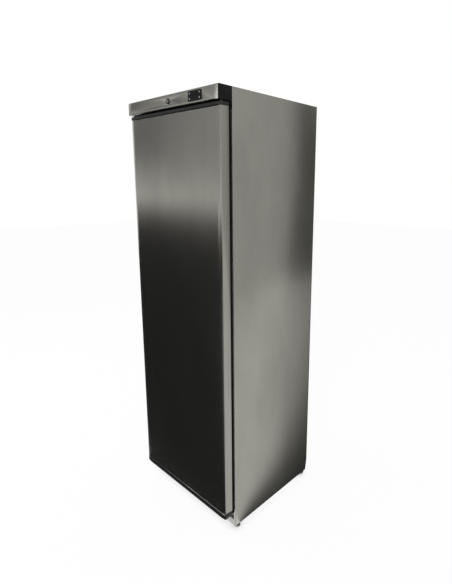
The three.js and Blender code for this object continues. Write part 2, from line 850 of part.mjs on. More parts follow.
/** A key cap. It stands a little proud of the bezel and stops short of the bottom of its seat. */
function button([x, z]) {
  const front = fasciaFront - controllerBezel - buttonProud;
  return bar('y', buttonRadius, [front, front + buttonLength - runningClearance], x, z, 12);
}

const lockRear = fasciaFront + lockBodyLength;
const camFront = lockRear + runningClearance;

/** The lock's housing: a round flange on the fascia and a barrel behind it. */
function lockHousing() {
  const front = fasciaFront - lockFlangeThickness;
  return cut(
    join(
      bar('y', lockFlangeRadius, [front, fasciaFront], 0, fasciaMiddle, 24),
      bar('y', lockRadius - fitGap, [front + 1, lockRear], 0, fasciaMiddle),
    ),
    bar('y', lockCylinderRadius + runningClearance, [front - 1, lockRear + 1], 0, fasciaMiddle),
  );
}

/** The cylinder's square tail, which the cam sits on. */
const lockTail = (ys) =>
  box([-lockTailHalf, lockTailHalf], ys, [fasciaMiddle - lockTailHalf, fasciaMiddle + lockTailHalf]);

/** The cylinder that the key turns. Its square tail carries the cam. */
function lockCylinder() {
  const front = fasciaFront - lockFlangeThickness;
  return cut(
    join(
      bar('y', lockCylinderRadius, [front, lockRear + runningClearance / 2], 0, fasciaMiddle),
      lockTail([lockRear, camFront + camThickness + 1]),
    ),
    box(
      [-keySlotWidth / 2, keySlotWidth / 2],
      [front - 1, front + keySlotDepth],
      [fasciaMiddle - keySlotLength / 2, fasciaMiddle + keySlotLength / 2],
    ),
  );
}

/** The cam lies to the left while unlocked and hangs down into the door's strike when locked. */
function lockCam() {
  const lever = outline([
    [camHalfWidth + 1, fasciaMiddle - camHalfWidth, 3],
    [camHalfWidth + 1, fasciaMiddle + camHalfWidth, 3],
    [-camReach, fasciaMiddle + camHalfWidth, camHalfWidth - 1],
    [-camReach, fasciaMiddle - camHalfWidth, camHalfWidth - 1],
  ], 45);
  return cut(
    drawnBack(lever, [camFront, camFront + camThickness]),
    lockTail([camFront - 1, camFront + camThickness + 1]),
  );
}

// ---------------------------------------------------------------- door

const skinReturnRear = doorFront + doorHemReturn;

function doorSkin() {
  const side = outline([
    [doorRear, flangeTop, flangeCornerRadius],
    [skinReturnRear, flangeTop],
    [skinReturnRear, skinTop],
    [doorFront, skinTop, doorHemRadius],
    [doorFront, skinBottom, doorHemRadius],
    [doorRear, skinBottom],
  ]);
  const inside = outline([
    [1, skinTop + 1],
    [skinReturnRear, skinTop + 1],
    [skinReturnRear, skinTop - steelSheet],
    [doorFront + steelSheet, skinTop - steelSheet, doorHemRadius - steelSheet],
    [doorFront + steelSheet, skinBottom + steelSheet, doorHemRadius - steelSheet],
    [skinReturnRear, skinBottom + steelSheet],
    [skinReturnRear, skinBottom - 1],
    [1, skinBottom - 1],
  ]);
  const pan = rolledPan({
    halfWidth: doorHalf,
    front: doorFront,
    back: doorRear,
    rollWidth: doorRollWidth,
    rollDrop: doorRollDrop,
    side,
    sideInside: inside,
    sheet: steelSheet,
    ends: true,
  });
  return cut(pan, gripCutter(0));
}

/** The window for the finger grip in the door's left flange. */
const gripCutter = (grow) =>
  box(
    [-doorHalf - 1, gripDepth - doorHalf],
    [hingeY - gripWidth / 2 - grow, hingeY + gripWidth / 2 + grow],
    [gripHeight - gripLength / 2 - grow, gripHeight + gripLength / 2 + grow],
  );

/** The finger grip: a moulded cup with a rim that covers the edge of its window. */
function gripCup() {
  const section = (grow) =>
    roundedRectangle(
      [hingeY - gripWidth / 2 - grow, hingeY + gripWidth / 2 + grow],
      [gripHeight - gripLength / 2 - grow, gripHeight + gripLength / 2 + grow],
      grow > 0 ? gripRim + 2 : 4,
      45,
    );
  const rimFace = -doorHalf - gripRimThickness;
  const floor = gripDepth - doorHalf - fitGap;
  return cut(
    join(
      drawnAcross(section(gripRim), [rimFace, -doorHalf]),
      drawnAcross(section(-fitGap), [rimFace + gripRimThickness / 2, floor]),
    ),
    drawnAcross(section(-fitGap - gripWall), [rimFace - 1, floor - gripWall]),
  );
}

/** A door end trim: a band around the door's end and a plug inside the skin. */
function doorTrim([bandFrom, bandTo], [plugFrom, plugTo]) {
  const front = doorFront - trimProud;
  const side = doorHalf + trimProud;
  const band = raised(
    rolledPlan(side, [front, doorRear], [doorRollWidth, doorRollDrop], bendRadius + trimProud),
    [bandFrom, bandTo],
  );
  const plug = wideBox(
    doorHalf - steelSheet - fitGap,
    [skinReturnRear, doorRear - doorLinerSheet],
    [plugFrom, plugTo],
  );
  return join(band, plug);
}

const bushRadius = hingePinRadius + runningClearance + bushWall;
const boreRadius = bushRadius + fitGap;
const boreDepth = hingePinLength + 3;

function topTrim() {
  const bore = bar('z', boreRadius, [doorTop - boreDepth, doorTop + 1], hingeX, hingeY);
  const strike = box(
    [-camReach + camHalfWidth, camHalfWidth + 4],
    [camFront - 2, camFront + camThickness + 2],
    [doorTop - strikeDepth, doorTop + 1],
  );
  return cut(doorTrim([skinTop, doorTop], [skinTop - topTrimPlug, skinTop + 1]), bore, strike);
}

function bottomTrim() {
  const bore = bar('z', boreRadius, [doorBottom - 1, doorBottom + boreDepth], hingeX, hingeY);
  return cut(doorTrim([doorBottom, skinBottom], [skinBottom - 1, skinBottom + trimPlug]), bore);
}

/** A flanged hinge bush. The flange faces away from the door; up is 1 where the door lies above it. */
function hingeBush(faceLevel, up) {
  const inner = hingePinRadius + runningClearance;
  const sleeve = faceLevel + up * (hingePinLength + 1);
  const profile = [
    [inner, faceLevel - up * bushFlangeThickness],
    [bushFlangeRadius, faceLevel - up * bushFlangeThickness],
    [bushFlangeRadius, faceLevel],
    [bushRadius, faceLevel],
    [bushRadius, sleeve],
    [inner, sleeve],
    [inner, faceLevel - up * bushFlangeThickness],
  ];
  return turned(up > 0 ? profile : profile.reverse(), hingeX, hingeY);
}

/** The door liner's middle, which stands into the compartment with tapered sides. */
function doorPlateau(inset, rear) {
  const plateauHalf = linerHalf - doorPlateauInset - inset;
  const margin = doorPlateauInset + inset + doorPlateauTaper;
  const shape = roundedRectangle(
    [doorPlateauTaper - plateauHalf, plateauHalf - doorPlateauTaper],
    [linerFloor + margin, linerCeiling - margin],
    doorPlateauRadius,
  );
  const crown = new THREE.ExtrudeGeometry(shape, {
    depth: 0.5,
    bevelThickness: doorPlateauHeight + doorLinerSheet - inset,
    bevelSize: doorPlateauTaper,
    bevelSegments: 1,
  });
  const turnedBack = new THREE.Matrix4().makeBasis(X, Z, Y.clone().negate());
  return common(
    crown.applyMatrix4(turnedBack).translate(0, doorRear - doorLinerSheet, 0),
    wideBox(half, [rear, half], [0, cabinetTop]),
  );
}

function doorLiner() {
  const front = doorRear - doorLinerSheet;
  const sheet = wideBox(doorHalf - steelSheet - fitGap, [front, doorRear], [skinBottom, skinTop]);
  return cut(join(sheet, doorPlateau(0, front)), doorPlateau(doorLinerSheet, front - 1));
}

function doorFoam() {
  const rear = doorRear - doorLinerSheet;
  const front = doorFront + steelSheet + doorRollDrop;
  const side = doorHalf - steelSheet - fitGap;
  const block = raised(
    outline([[-side, rear], [-side, front, bendRadius], [side, front, bendRadius], [side, rear]], 45),
    [skinBottom + trimPlug, skinTop - topTrimPlug],
  );
  return cut(join(block, doorPlateau(doorLinerSheet, rear - 1)), gripCutter(0));
}

/** The magnetic gasket: a foot on the door liner, a narrow folding neck and a magnet head. */
function doorGasket() {
  const outerHalf = hingeX - gasketSetback;
  const outerBottom = doorBottom + hingeInset + gasketSetback;
  const outerTop = doorTop - hingeInset - gasketSetback;
  const block = (inset, ys) => wideBox(outerHalf - inset, ys, [outerBottom + inset, outerTop - inset]);
  const ring = (inset, width, [front, rear]) =>
    cut(block(inset, [front, rear]), block(inset + width, [front - 1, rear + 1]));
  const neckInset = (gasketWidth - gasketNeck) / 2;
  const headFront = -sealGap - gasketHeadDepth;
  return join(
    ring(neckInset / 2, gasketWidth - neckInset, [doorRear, doorRear + gasketFootDepth]),
    ring(neckInset, gasketNeck, [doorRear + gasketFootDepth / 2, headFront + gasketHeadDepth / 2]),
    ring(0, gasketWidth, [headFront, -sealGap]),
  );
}

// ---------------------------------------------------------------- hinges

/** The bottom hinge: a flat plate held between the plinth and the front frame, with its pin. */
function bottomHinge() {
  const plan = outline([
    [hingeX - hingePlateWidth / 2, hingePlateTail],
    [hingeX - hingePlateWidth / 2, hingeY - 10, 9],
    [hingeX + 11, hingeY - 10, 9],
    [hingeX + 11, hingePlateTail],
  ]);
  const pin = bar('z', hingePinRadius, [frameBottom - 1, doorBottom + hingePinLength], hingeX, hingeY, 16);
  return join(raised(plan, [plinthTop, frameBottom]), pin);
}

/** The top hinge: an angle on the front frame behind the fascia, with its pin down into the door. */
function topHinge() {
  const under = fasciaBottom + fasciaSheet + 1;
  const reach = outline([
    [0, under + topHingeHeight],
    [-hingePlateThickness, under + topHingeHeight],
    [-hingePlateThickness, under + hingePlateThickness, 2],
    [hingeY - 11, under + hingePlateThickness],
    [hingeY - 11, under],
    [0, under],
  ], 45);
  const pin = bar('z', hingePinRadius, [doorTop - hingePinLength, under + 1], hingeX, hingeY, 16);
  const right = Math.min(hingeX + 11, fasciaHalf - endCapRib - 0.5);
  return join(drawnAcross(reach, [hingeX - hingePlateWidth / 2, right]), pin);
}

// ---------------------------------------------------------------- evaporator

/** A wire laid over the passes of a pipe and welded to the first and the last of them. */
function weldedWire(from, to, crest, thickness, isWeldAt) {
  const under = crest + weldGap;
  const sink = crest - weldSink;
  const [first, last] = isWeldAt;
  return outline([
    [from, under],
    [first - weldHalf, under],
    [first - weldHalf, sink],
    [first + weldHalf, sink],
    [first + weldHalf, under],
    [last - weldHalf, under],
    [last - weldHalf, sink],
    [last + weldHalf, sink],
    [last + weldHalf, under],
    [to, under],
    [to, under + thickness],
    [from, under + thickness],
  ]);
}

/** One shelf: a pipe that winds from side to side, its riser to the next shelf, and the wires on it. */
function evaporatorShelf(k) {
  const level = shelfLevel(k);
  const side = k % 2 === 0 ? 1 : -1;
  const passes = evenly(evaporatorPassCount, -side * shelfHalf, side * shelfHalf);
  const bend = Math.abs(passes[1] - passes[0]) / 2;
  const corners = passes.flatMap((x, i) => {
    const [from, to] = i % 2 === 0 ? [shelfRear, shelfFront] : [shelfFront, shelfRear];
    return [[x, from, level], [x, to, level]];
  });
  const inlet = [passes[0], shelfRear, k === 0 ? condenserEndLevel : level - riserStub];
  const isTop = k === shelfCount - 1;
  const riser = isTop ? [] : [[passes.at(-1), shelfRear, level + shelfPitch - riserStub - fitGap]];
  corners[0].push(riserBend);
  corners.at(-1).push(riserBend);
  const tube = pipe([inlet, ...corners, ...riser], evaporatorTubeRadius, bend);
  const wire = weldedWire(
    -shelfHalf - wireThickness,
    shelfHalf + wireThickness,
    level + evaporatorTubeRadius,
    wireThickness,
    [-shelfHalf, shelfHalf],
  );
  const wires = evenly(shelfWireCount, shelfFront + bend + wireThickness, shelfRear - 2 * riserBend).map((y) =>
    drawnBack(wire, [y - wireThickness / 2, y + wireThickness / 2]),
  );
  return join(tube, ...wires);
}

const probeX = linerHalf - probeStandOff;
const probeLevel = linerCeiling - probeDrop;

/** A stretch along the compartment's depth, around the probe's middle. */
const aroundProbe = (length) => [probeSetback - length / 2, probeSetback + length / 2];

/** The temperature probe's clip on the liner's right wall. */
function probeClip() {
  const reach = probeRadius + probeClipWall;
  return cut(
    box([probeX - reach, linerHalf], aroundProbe(probeClipWidth), [probeLevel - reach, probeLevel + reach]),
    bar('y', probeRadius + fitGap, aroundProbe(probeClipWidth + 2), probeX, probeLevel, 12),
  );
}

const probe = () => bar('y', probeRadius, aroundProbe(probeLength), probeX, probeLevel, 12);

// ---------------------------------------------------------------- condenser

/** The condenser: a pipe that winds up the back, upright wires and two strips that hold it. */
function condenser() {
  const levels = evenly(condenserPassCount, condenserTop, condenserBottom);
  const bend = (levels[0] - levels[1]) / 2;
  const right = condenserWidth / 2;
  const winding = levels.flatMap((z, i) => {
    const from = i % 2 === 0 ? right : -right;
    return [[from, condenserY, z], [-from, condenserY, z]];
  });
  winding[0] = [condenserRiserX, condenserY, condenserTop, lineBend];
  winding.at(-1).push(lineBend);
  const ends = [condenserRiserX, -right].map((x) => [x, condenserY, condenserEndLevel]);
  const tube = pipe([ends[0], ...winding, ends[1]], condenserTubeRadius, bend);
  const wire = weldedWire(
    condenserBottom - condenserWireOverhang,
    condenserTop + condenserWireOverhang,
    condenserY + condenserTubeRadius,
    condenserWireThickness,
    [condenserBottom, condenserTop],
  );
  const reach = right - bend - condenserWireThickness;
  const wires = evenly(condenserWireCount, -reach, reach).map((x) =>
    uprightSection(wire, x, condenserWireThickness),
  );
  const strips = [-0.7 * reach, 0.7 * reach].map((x) =>
    uprightSection(condenserStrip(), x, condenserStripWidth),
  );
  return join(tube, ...wires, ...strips);
}

/** A section given as (z, y), drawn out across the back around x. */
function uprightSection(section, x, width) {
  return extrude(section, width)
    .applyMatrix4(new THREE.Matrix4().makeBasis(Z, Y, X.clone().negate()))
    .translate(x + width / 2, 0, 0);
}

/** A strip welded to the first and last pass, with three feet that stand on the back panel. */
function condenserStrip() {
  const face = condenserY - condenserTubeRadius - weldGap;
  const sink = condenserY - condenserTubeRadius + weldSink;
  const rear = face - condenserStripSheet;
  const foot = backPlane + fitGap;
  const ends = [condenserBottom - condenserStripOverhang, condenserTop + condenserStripOverhang];
  const reach = condenserStripWidth / 2;
  const feet = evenly(3, ends[0] + reach, ends[1] - reach).flatMap((z) => [
    [z - reach, rear],
    [z - reach, foot],
    [z + reach, foot],
    [z + reach, rear],
  ]);
  return outline([
    ...feet.slice(1, -1),
    [ends[1], face],
    [condenserTop + weldHalf, face],
    [condenserTop + weldHalf, sink],
    [condenserTop - weldHalf, sink],
    [condenserTop - weldHalf, face],
    [condenserBottom + weldHalf, face],
    [condenserBottom + weldHalf, sink],
    [condenserBottom - weldHalf, sink],
    [condenserBottom - weldHalf, face],
    [ends[0], face],
  ]);
}

// ---------------------------------------------------------------- base

const footX = half - footInset;
const railInner = sideInner - railWidth;
const rollerX = (railInner + sideInner) / 2;
const rollerY = cabinetDepth - rollerSetback;

/** A base rail: an inverted channel with a foot plate and weld nut in front and roller ears behind. */
function baseRail(side) {
  const section = bentSheet([
    [sideInner, cabinetBottom],
    [sideInner, railTop],
    [railInner, railTop],
    [railInner, cabinetBottom],
  ], railSheet, bendRadius);
  const front = plinthReturn + railPlinthGap;
  const channel = drawnBack(section, [front, cabinetDepth - railRearInset]);
  const plateTop = cabinetBottom + railSheet;
  const plate = box(
    [railInner + railSheet / 2, sideInner - railSheet / 2],
    [front, footSetback + 2 * footNutRadius],
    [cabinetBottom, plateTop],
  );
  const nutSpan = [cabinetBottom - footNutHeight, plateTop - railSheet / 2];
  const nut = bar('z', footNutRadius, nutSpan, footX, footSetback, 6);
  const stemHole = bar('z', footStemRadius + runningClearance, [0, plateTop + 1], footX, footSetback, 12);
  const earSection = roundedRectangle(
    [rollerY - rollerEarWidth / 2, rollerY + rollerEarWidth / 2],
    [cabinetBottom - rollerEarDrop, cabinetBottom + rollerEarDrop],
    rollerEarRadius,
    90,
  );
  const ears = [railInner, sideInner - railSheet].map((x) => drawnAcross(earSection, [x, x + railSheet]));
  const axleSpan = [railInner - 1, sideInner + 1];
  const axleHole = bar('x', rollerAxleRadius + runningClearance, axleSpan, rollerY, rollerRadius, 10);
  const rail = cut(join(channel, plate, nut, ...ears), stemHole, axleHole);
  return side > 0 ? rail : rail.mirror([1, 0, 0]);
}

/** A levelling foot: a moulded pad and neck on a stem that screws into the rail's weld nut. */
function levellingFoot(side) {
  const neckTop = cabinetBottom - footNutHeight - runningClearance;
  return turned([
    [0, 0],
    [footPadRadius - 1, 0],
    [footPadRadius, 1],
    [footPadRadius, footPadHeight - 1.5],
    [footPadRadius - 2, footPadHeight],
    [footNeckRadius, footPadHeight],
    [footNeckRadius, neckTop],
    [footStemRadius, neckTop],
    [footStemRadius, footStemLength],
    [0, footStemLength],
  ], side * footX, footSetback, 14);
}

/** A moulded roller with its axle stubs, which snap into the ears of the rail. */
function rearRoller(side) {
  const earGap = railSheet + runningClearance;
  const [wheel, collar, axle] = [
    [rollerRadius, rollerX - rollerWidth / 2, rollerX + rollerWidth / 2, 20],
    [rollerCollarRadius, railInner + earGap, sideInner - earGap, 10],
    [rollerAxleRadius, railInner - railSheet, sideInner - fitGap, 10],
  ].map(([radius, from, to, sides]) => bar('x', radius, [from, to], rollerY, rollerRadius, sides));
  const roller = join(wheel, collar, axle);
  return side > 0 ? roller : roller.mirror([1, 0, 0]);
}

// ---------------------------------------------------------------- compressor and its circuit

function compressorTray() {
  const rear = cabinetDepth - trayRearGap;
  const section = bentSheet([
    [recessFoot + trayFrontGap, trayTop + trayFlange],
    [recessFoot + trayFrontGap, railTop],
    [rear, railTop],
    [rear, trayTop + trayFlange],
  ], trayThickness, bendRadius);
  return cut(
    drawnAcross(section, [-sideInner + steelSheet, sideInner - steelSheet]),
    glandBar(glandSleeveRadius + fitGap, [rear - trayThickness - 1, rear + 1]),
  );
}

const glandBar = (radius, ys) => bar('y', radius, ys, -glandLeft, trayTop + trayFlange / 2, 12);

/** The mains cord's gland in the tray's rear flange. */
function cordGland() {
  const plate = cabinetDepth - trayRearGap;
  const inner = plate - trayThickness - glandSleeveReach;
  return cut(
    join(
      glandBar(glandRadius, [plate + fitGap, plate + glandLength]),
      glandBar(glandSleeveRadius, [inner, plate + 1]),
    ),
    glandBar(glandBoreRadius, [inner - 1, plate + glandLength + 1]),
  );
}

const relayLevel = shellBase + compressorHeight * 0.42;
const terminalFace = compressorOffset + compressorLength / 2 + terminalReach;
const portFace = compressorOffset - compressorLength / 2 - portLength;
const portLevel = shellBase + compressorHeight * 0.36;
const suctionPort = { y: compressorY + portSpacing, z: portLevel + portStep, radius: suctionTubeRadius };
const dischargePort = { y: compressorY - portSpacing, z: portLevel, radius: serviceTubeRadius };
const processPort = { y: compressorY, z: portLevel + portStep / 2, radius: serviceTubeRadius };

const mountPlaces = [-1, 1].flatMap((side) =>
  [-1, 1].map((end) => [
    compressorOffset + side * (compressorFootLength / 2 - mountRadius - 2),
    compressorY + end * (compressorFootWidth / 2 - mountRadius - 2),
  ]),
);

/** The hermetic compressor: a domed two-part shell with a weld seam, its foot plate and its ports. */
function compressor() {
  const radius = compressorWidth / 2;
  const seam = shellBase + compressorHeight * 0.56;
  const shell = new THREE.LatheGeometry(
    [
      [0, shellBase - compressorFootThickness / 2],
      [radius * 0.55, shellBase - compressorFootThickness / 2],
      [radius * 0.9, shellBase + compressorHeight * 0.1],
      [radius, shellBase + compressorHeight * 0.28],
      [radius, seam],
      [radius + 3, seam],
      [radius + 3, seam + 5],
      [radius * 0.98, seam + 5],
      [radius * 0.94, shellBase + compressorHeight * 0.8],
      [radius * 0.7, shellBase + compressorHeight * 0.95],
      [0, shellBase + compressorHeight],
    ].map(([r, z]) => new THREE.Vector2(r, z)),
    20,
  )
    .rotateX(Math.PI / 2)
    .scale(compressorLength / compressorWidth, 1, 1)
    .translate(compressorOffset, compressorY, 0);
  const feet = raised(
    roundedRectangle(
      [compressorOffset - compressorFootLength / 2, compressorOffset + compressorFootLength / 2],
      [compressorY - compressorFootWidth / 2, compressorY + compressorFootWidth / 2],
      14,
      45,
    ),
    [compressorFootLevel, shellBase],
  );
  const terminals = box(
    [compressorOffset + compressorLength / 2 - terminalRoot, terminalFace],
    [compressorY - relayCoverWidth / 2, compressorY + relayCoverWidth / 2],
    [relayLevel - relayCoverHeight / 2, relayLevel + relayCoverHeight / 2],
  );
  const ports = [suctionPort, dischargePort, processPort].map(({ y, z, radius: portRadius }) =>
    bar('x', portRadius, [portFace, portFace + portLength + portRoot], y, z, 8),
  );
  const footSpan = [compressorFootLevel - 1, shellBase + 1];
  const boltRadius = mountBoltRadius + fitGap;
  const bolts = mountPlaces.map(([x, y]) => bar('z', boltRadius, footSpan, x, y, 10));
  return cut(join(shell, feet, terminals, ...ports), ...bolts);
}

/** The relay cover: an open plastic box over the compressor's terminals. */
function relayCover() {
  const face = terminalFace + fitGap;
  const end = face + relayCoverDepth;
  const section = (wall) =>
    roundedRectangle(
      [compressorY - relayCoverWidth / 2 + wall, compressorY + relayCoverWidth / 2 - wall],
      [relayLevel - relayCoverHeight / 2 + wall, relayLevel + relayCoverHeight / 2 - wall],
      6 - wall,
      45,
    );
  return cut(
    drawnAcross(section(0), [face, end]),
    drawnAcross(section(relayCoverWall), [face - 1, end - relayCoverWall]),
  );
}

/** A rubber mount with a waist, and the stud that holds the compressor's foot. */
function compressorMount([x, y]) {
  const top = trayTop + mountHeight;
  return turned([
    [0, trayTop],
    [mountRadius, trayTop],
    [mountRadius, trayTop + mountHeight * 0.3],
    [mountWaist, trayTop + mountHeight * 0.5],
    [mountRadius, trayTop + mountHeight * 0.75],
    [mountRadius, top],
    [mountBoltRadius, top],
    [mountBoltRadius, top + compressorFootThickness + 6],
    [0, top + compressorFootThickness + 6],
  ], x, y, 10);
}

const drierX = -drierLeft;
const drierY = cabinetDepth - drierSetback;
const drierFoot = trayTop + drierRise;
const drierTop = drierFoot + drierLength;

/** The filter drier: a copper shell drawn down to a neck at each end. */
const filterDrier = () =>
  turned([
    [0, drierFoot],
    [serviceTubeRadius, drierFoot],
    [serviceTubeRadius, drierFoot + 8],
    [drierRadius, drierFoot + 16],
    [drierRadius, drierTop - 16],
    [serviceTubeRadius, drierTop - 8],
    [serviceTubeRadius, drierTop],
    [0, drierTop],
  ], drierX, drierY, 12);

function dischargeLine() {
  const { y, z, radius } = dischargePort;
  const start = portFace - fitGap;
  return pipe(
    [
      [start, y, z],
      [start - 2 * lineBend, y, z],
      [start - 2 * lineBend, condenserY, z],
      [condenserRiserX, condenserY, z],
      [condenserRiserX, condenserY, condenserEndLevel - fitGap],
    ],
    radius,
    lineBend,
  );
}

function suctionLine() {
  const { y, z, radius } = suctionPort;
  return pipe(
    [
      [-shelfHalf, shelfRear, condenserEndLevel - fitGap],
      [-shelfHalf, shelfRear, z],
      [portFace - 3 * lineBend, y, z],
      [portFace - fitGap, y, z],
    ],
    radius,
    lineBend,
  );
}

const liquidLine = () =>
  pipe(
    [
      [-condenserWidth / 2, condenserY, condenserEndLevel - fitGap],
      [-condenserWidth / 2, condenserY, drierTop + lineBend],
      [drierX, drierY, drierTop + lineBend],
      [drierX, drierY, drierTop + fitGap],
    ],
    condenserTubeRadius,
    lineBend / 2,
  );

const capillary = () =>
  pipe(
    [
      [drierX, drierY, drierFoot - fitGap],
      [drierX, drierY, drierFoot - lineBend],
      [-shelfHalf, capillaryY, drierFoot - lineBend],
      [-shelfHalf, capillaryY, shelfLevel(shelfCount - 1)],
      [-shelfHalf, shelfRear + fitGap, shelfLevel(shelfCount - 1)],
    ],
    capillaryRadius,
    2 * capillaryRadius,
    5,
  );

place('side_panel_left', sidePanel(-1), stainless);
place('side_panel_right', sidePanel(1), stainless);
place('top_panel', topPanel(), stainless);
place('back_panel', backPanel(), galvanised);
place('bottom_panel', bottomPanel(), galvanised);
place('foam_body', foamBody(), foam);
place('inner_liner', innerLiner(), whiteLiner);
place('front_frame', frontFrame(), blackSteel);
place('plinth', plinth(), stainless);

place('fascia_panel', fasciaPanel(), stainless);
place('fascia_cap_left', endCap(-1), blackPlastic);
place('fascia_cap_right', endCap(1), blackPlastic);
place('controller_housing', controllerHousing(), blackPlastic);
place('controller_window', controllerWindow(), displayWindow);
buttonPlaces().forEach((at, k) => place(`controller_button_${k + 1}`, button(at), buttonGrey));
place('lock_housing', lockHousing(), blackPlastic);
place('lock_cylinder', lockCylinder(), brightSteel);
place('lock_cam', lockCam(), zincPlated);

place('door_skin', doorSkin(), stainless);
place('door_trim_top', topTrim(), darkGreyPlastic);
place('door_trim_bottom', bottomTrim(), darkGreyPlastic);
place('door_foam', doorFoam(), foam);
place('door_liner', doorLiner(), whiteLiner);
place('door_gasket', doorGasket(), gasketRubber);
place('grip_cup', gripCup(), blackPlastic);
place('hinge_bush_top', hingeBush(doorTop, -1), nylon);
place('hinge_bush_bottom', hingeBush(doorBottom, 1), nylon);
place('hinge_top', topHinge(), zincPlated);
place('hinge_bottom', bottomHinge(), zincPlated);

for (let k = 0; k < shelfCount; k += 1) {
  place(`evaporator_shelf_${k + 1}`, evaporatorShelf(k), whitePaintedTube);
}
place('probe_clip', probeClip(), whiteLiner);
place('temperature_probe', probe(), brightSteel);

place('condenser', condenser(), blackSteel);
place('base_rail_left', baseRail(-1), galvanised);
place('base_rail_right', baseRail(1), galvanised);
place('levelling_foot_left', levellingFoot(-1), nylon);
place('levelling_foot_right', levellingFoot(1), nylon);
place('rear_roller_left', rearRoller(-1), nylon);
place('rear_roller_right', rearRoller(1), nylon);

place('compressor_tray', compressorTray(), galvanised);
place('cord_gland', cordGland(), blackPlastic);
place('compressor', compressor(), blackSteel);
mountPlaces.forEach((at, k) => place(`compressor_mount_${k + 1}`, compressorMount(at), mountRubber));
place('relay_cover', relayCover(), blackPlastic);
place('filter_drier', filterDrier(), copper);
place('discharge_line', dischargeLine(), copper);
place('suction_line', suctionLine(), copper);
place('liquid_line', liquidLine(), copper);
place('capillary', capillary(), copper);

export default freezer;
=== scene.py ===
# Looks of the upright freezer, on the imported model: its finishes, its finer pieces, the camera and
# the stage. Metres, in the frame of the model: +Z up, the door faces -Y and is hinged on the +X side.

import json
import math

import bmesh
import bpy
from mathutils import Matrix, Vector

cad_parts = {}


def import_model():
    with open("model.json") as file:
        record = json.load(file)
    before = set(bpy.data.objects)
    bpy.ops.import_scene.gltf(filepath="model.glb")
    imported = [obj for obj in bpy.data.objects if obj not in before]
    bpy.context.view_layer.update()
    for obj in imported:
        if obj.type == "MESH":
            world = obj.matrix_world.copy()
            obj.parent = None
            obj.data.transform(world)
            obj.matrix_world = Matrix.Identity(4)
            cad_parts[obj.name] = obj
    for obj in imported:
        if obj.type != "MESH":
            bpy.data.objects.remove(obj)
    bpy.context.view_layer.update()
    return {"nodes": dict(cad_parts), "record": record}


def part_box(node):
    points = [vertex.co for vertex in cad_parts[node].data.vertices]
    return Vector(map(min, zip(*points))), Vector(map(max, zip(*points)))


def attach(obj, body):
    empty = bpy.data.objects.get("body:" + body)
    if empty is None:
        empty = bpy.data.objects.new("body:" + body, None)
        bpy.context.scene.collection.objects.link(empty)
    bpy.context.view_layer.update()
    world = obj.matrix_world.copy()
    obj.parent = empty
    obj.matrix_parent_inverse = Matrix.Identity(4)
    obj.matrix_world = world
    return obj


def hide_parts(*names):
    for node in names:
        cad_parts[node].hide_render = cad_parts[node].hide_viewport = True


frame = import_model()

nodes = frame["nodes"]
body_of_node = {
    node: body for body, members in frame["record"]["behaviour"]["bodies"].items() for node in members
}
slot_of_node = {entry["node"]: entry["material_slot"] for entry in frame["record"]["subparts"]}

# ---------------------------------------------------------------- places read from the model

cabinet_low, cabinet_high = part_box("side_panel_right")
front_plane = cabinet_low.y
cabinet_bottom = cabinet_low.z
door_low, door_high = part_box("door_skin")

# ---------------------------------------------------------------- driving dimensions

# Camera, from the corner points of the photograph; y from the cabinet's front, z from its bottom
CAMERA_PLACE = (1.45177, -1.07858, 1.48752)
CAMERA_YAW = 0.73257  # from +Y towards -X
CAMERA_PITCH = 0.19293  # down
CAMERA_ROLL = 0.0093155
FOCAL_PIXELS = 412.15
PRINCIPAL_POINT = (268.13, 265.70)
PICTURE = (452, 584)
SENSOR = 36.0
CLIP_END = 60

# Sheet and its edges
STEEL_SHEET = 0.001
EASED_EDGE = 0.0005
FLAT_ANGLE = math.radians(0.5)  # faces that meet at less are one flat face
CREASE_ANGLE = math.radians(32)  # edges that turn by more are eased
SAME_POINT = 1e-6
TOLERANCE = 0.0001

# Bends of tube and wire, in radians
BEND_STEP = math.radians(11)
STRAIGHT = 1e-4

# Evaporator shelves; tube and wire are given by their radius
SHELF_COUNT = 6
EVAPORATOR_TUBE = 0.004
EVAPORATOR_PASSES = 8
EVAPORATOR_WIRE = 0.00125
SHELF_WIRES = 26
SHELF_WIRE_START = 0.006  # behind the front of the tube's bends
SHELF_WIRE_OVERHANG = 0.0025
RISER_STUB = 0.040
RISER_BEND = 0.015

# Condenser
CONDENSER_TUBE = 0.0026
CONDENSER_PASSES = 11
CONDENSER_WIRE = 0.001
CONDENSER_WIRES = 37
CONDENSER_WIRE_OVERHANG = 0.008
CONDENSER_OVERHANG = 0.010
CONDENSER_RISE = 0.070
CONDENSER_RISER_BEND = 0.014
STRIP_PLACE = 0.7  # share of the half width that the wires span
STRIP_HALF = 0.008
STRIP_SHEET = 0.0015
STRIP_FEET = 3
WELD_GAP = 0.00025
WELD_SINK = 0.0003

# Refrigerant lines
SERVICE_TUBE = 0.003
SUCTION_TUBE = 0.004
CAPILLARY_TUBE = 0.0016
LINE_BEND = 0.014
SEAT_GAP = 0.0003

# Levelling feet; profiles are pairs of radius and height
FOOT_RIM = ((-0.0012, 0), (0, 0.0012), (0, 0.0042), (-0.0016, 0.006))  # radius from the pad's own
FOOT_STEM = 0.005
FOOT_STEM_START = 0.0062
FOOT_THREAD_START = 0.0121
FOOT_THREAD_PITCH = 0.0015
FOOT_THREAD_ROOT = 0.0043
FOOT_THREAD_MARGIN = 0.001
FOOT_TIP = 0.0044
FOOT_COLLAR = (
    (0.0051, 0.0061), (0.0112, 0.0061), (0.0109, 0.0078), (0.0100, 0.0090), (0.0096, 0.0118),
    (0.0092, 0.0122), (0.0051, 0.0122), (0.0051, 0.0061),
)

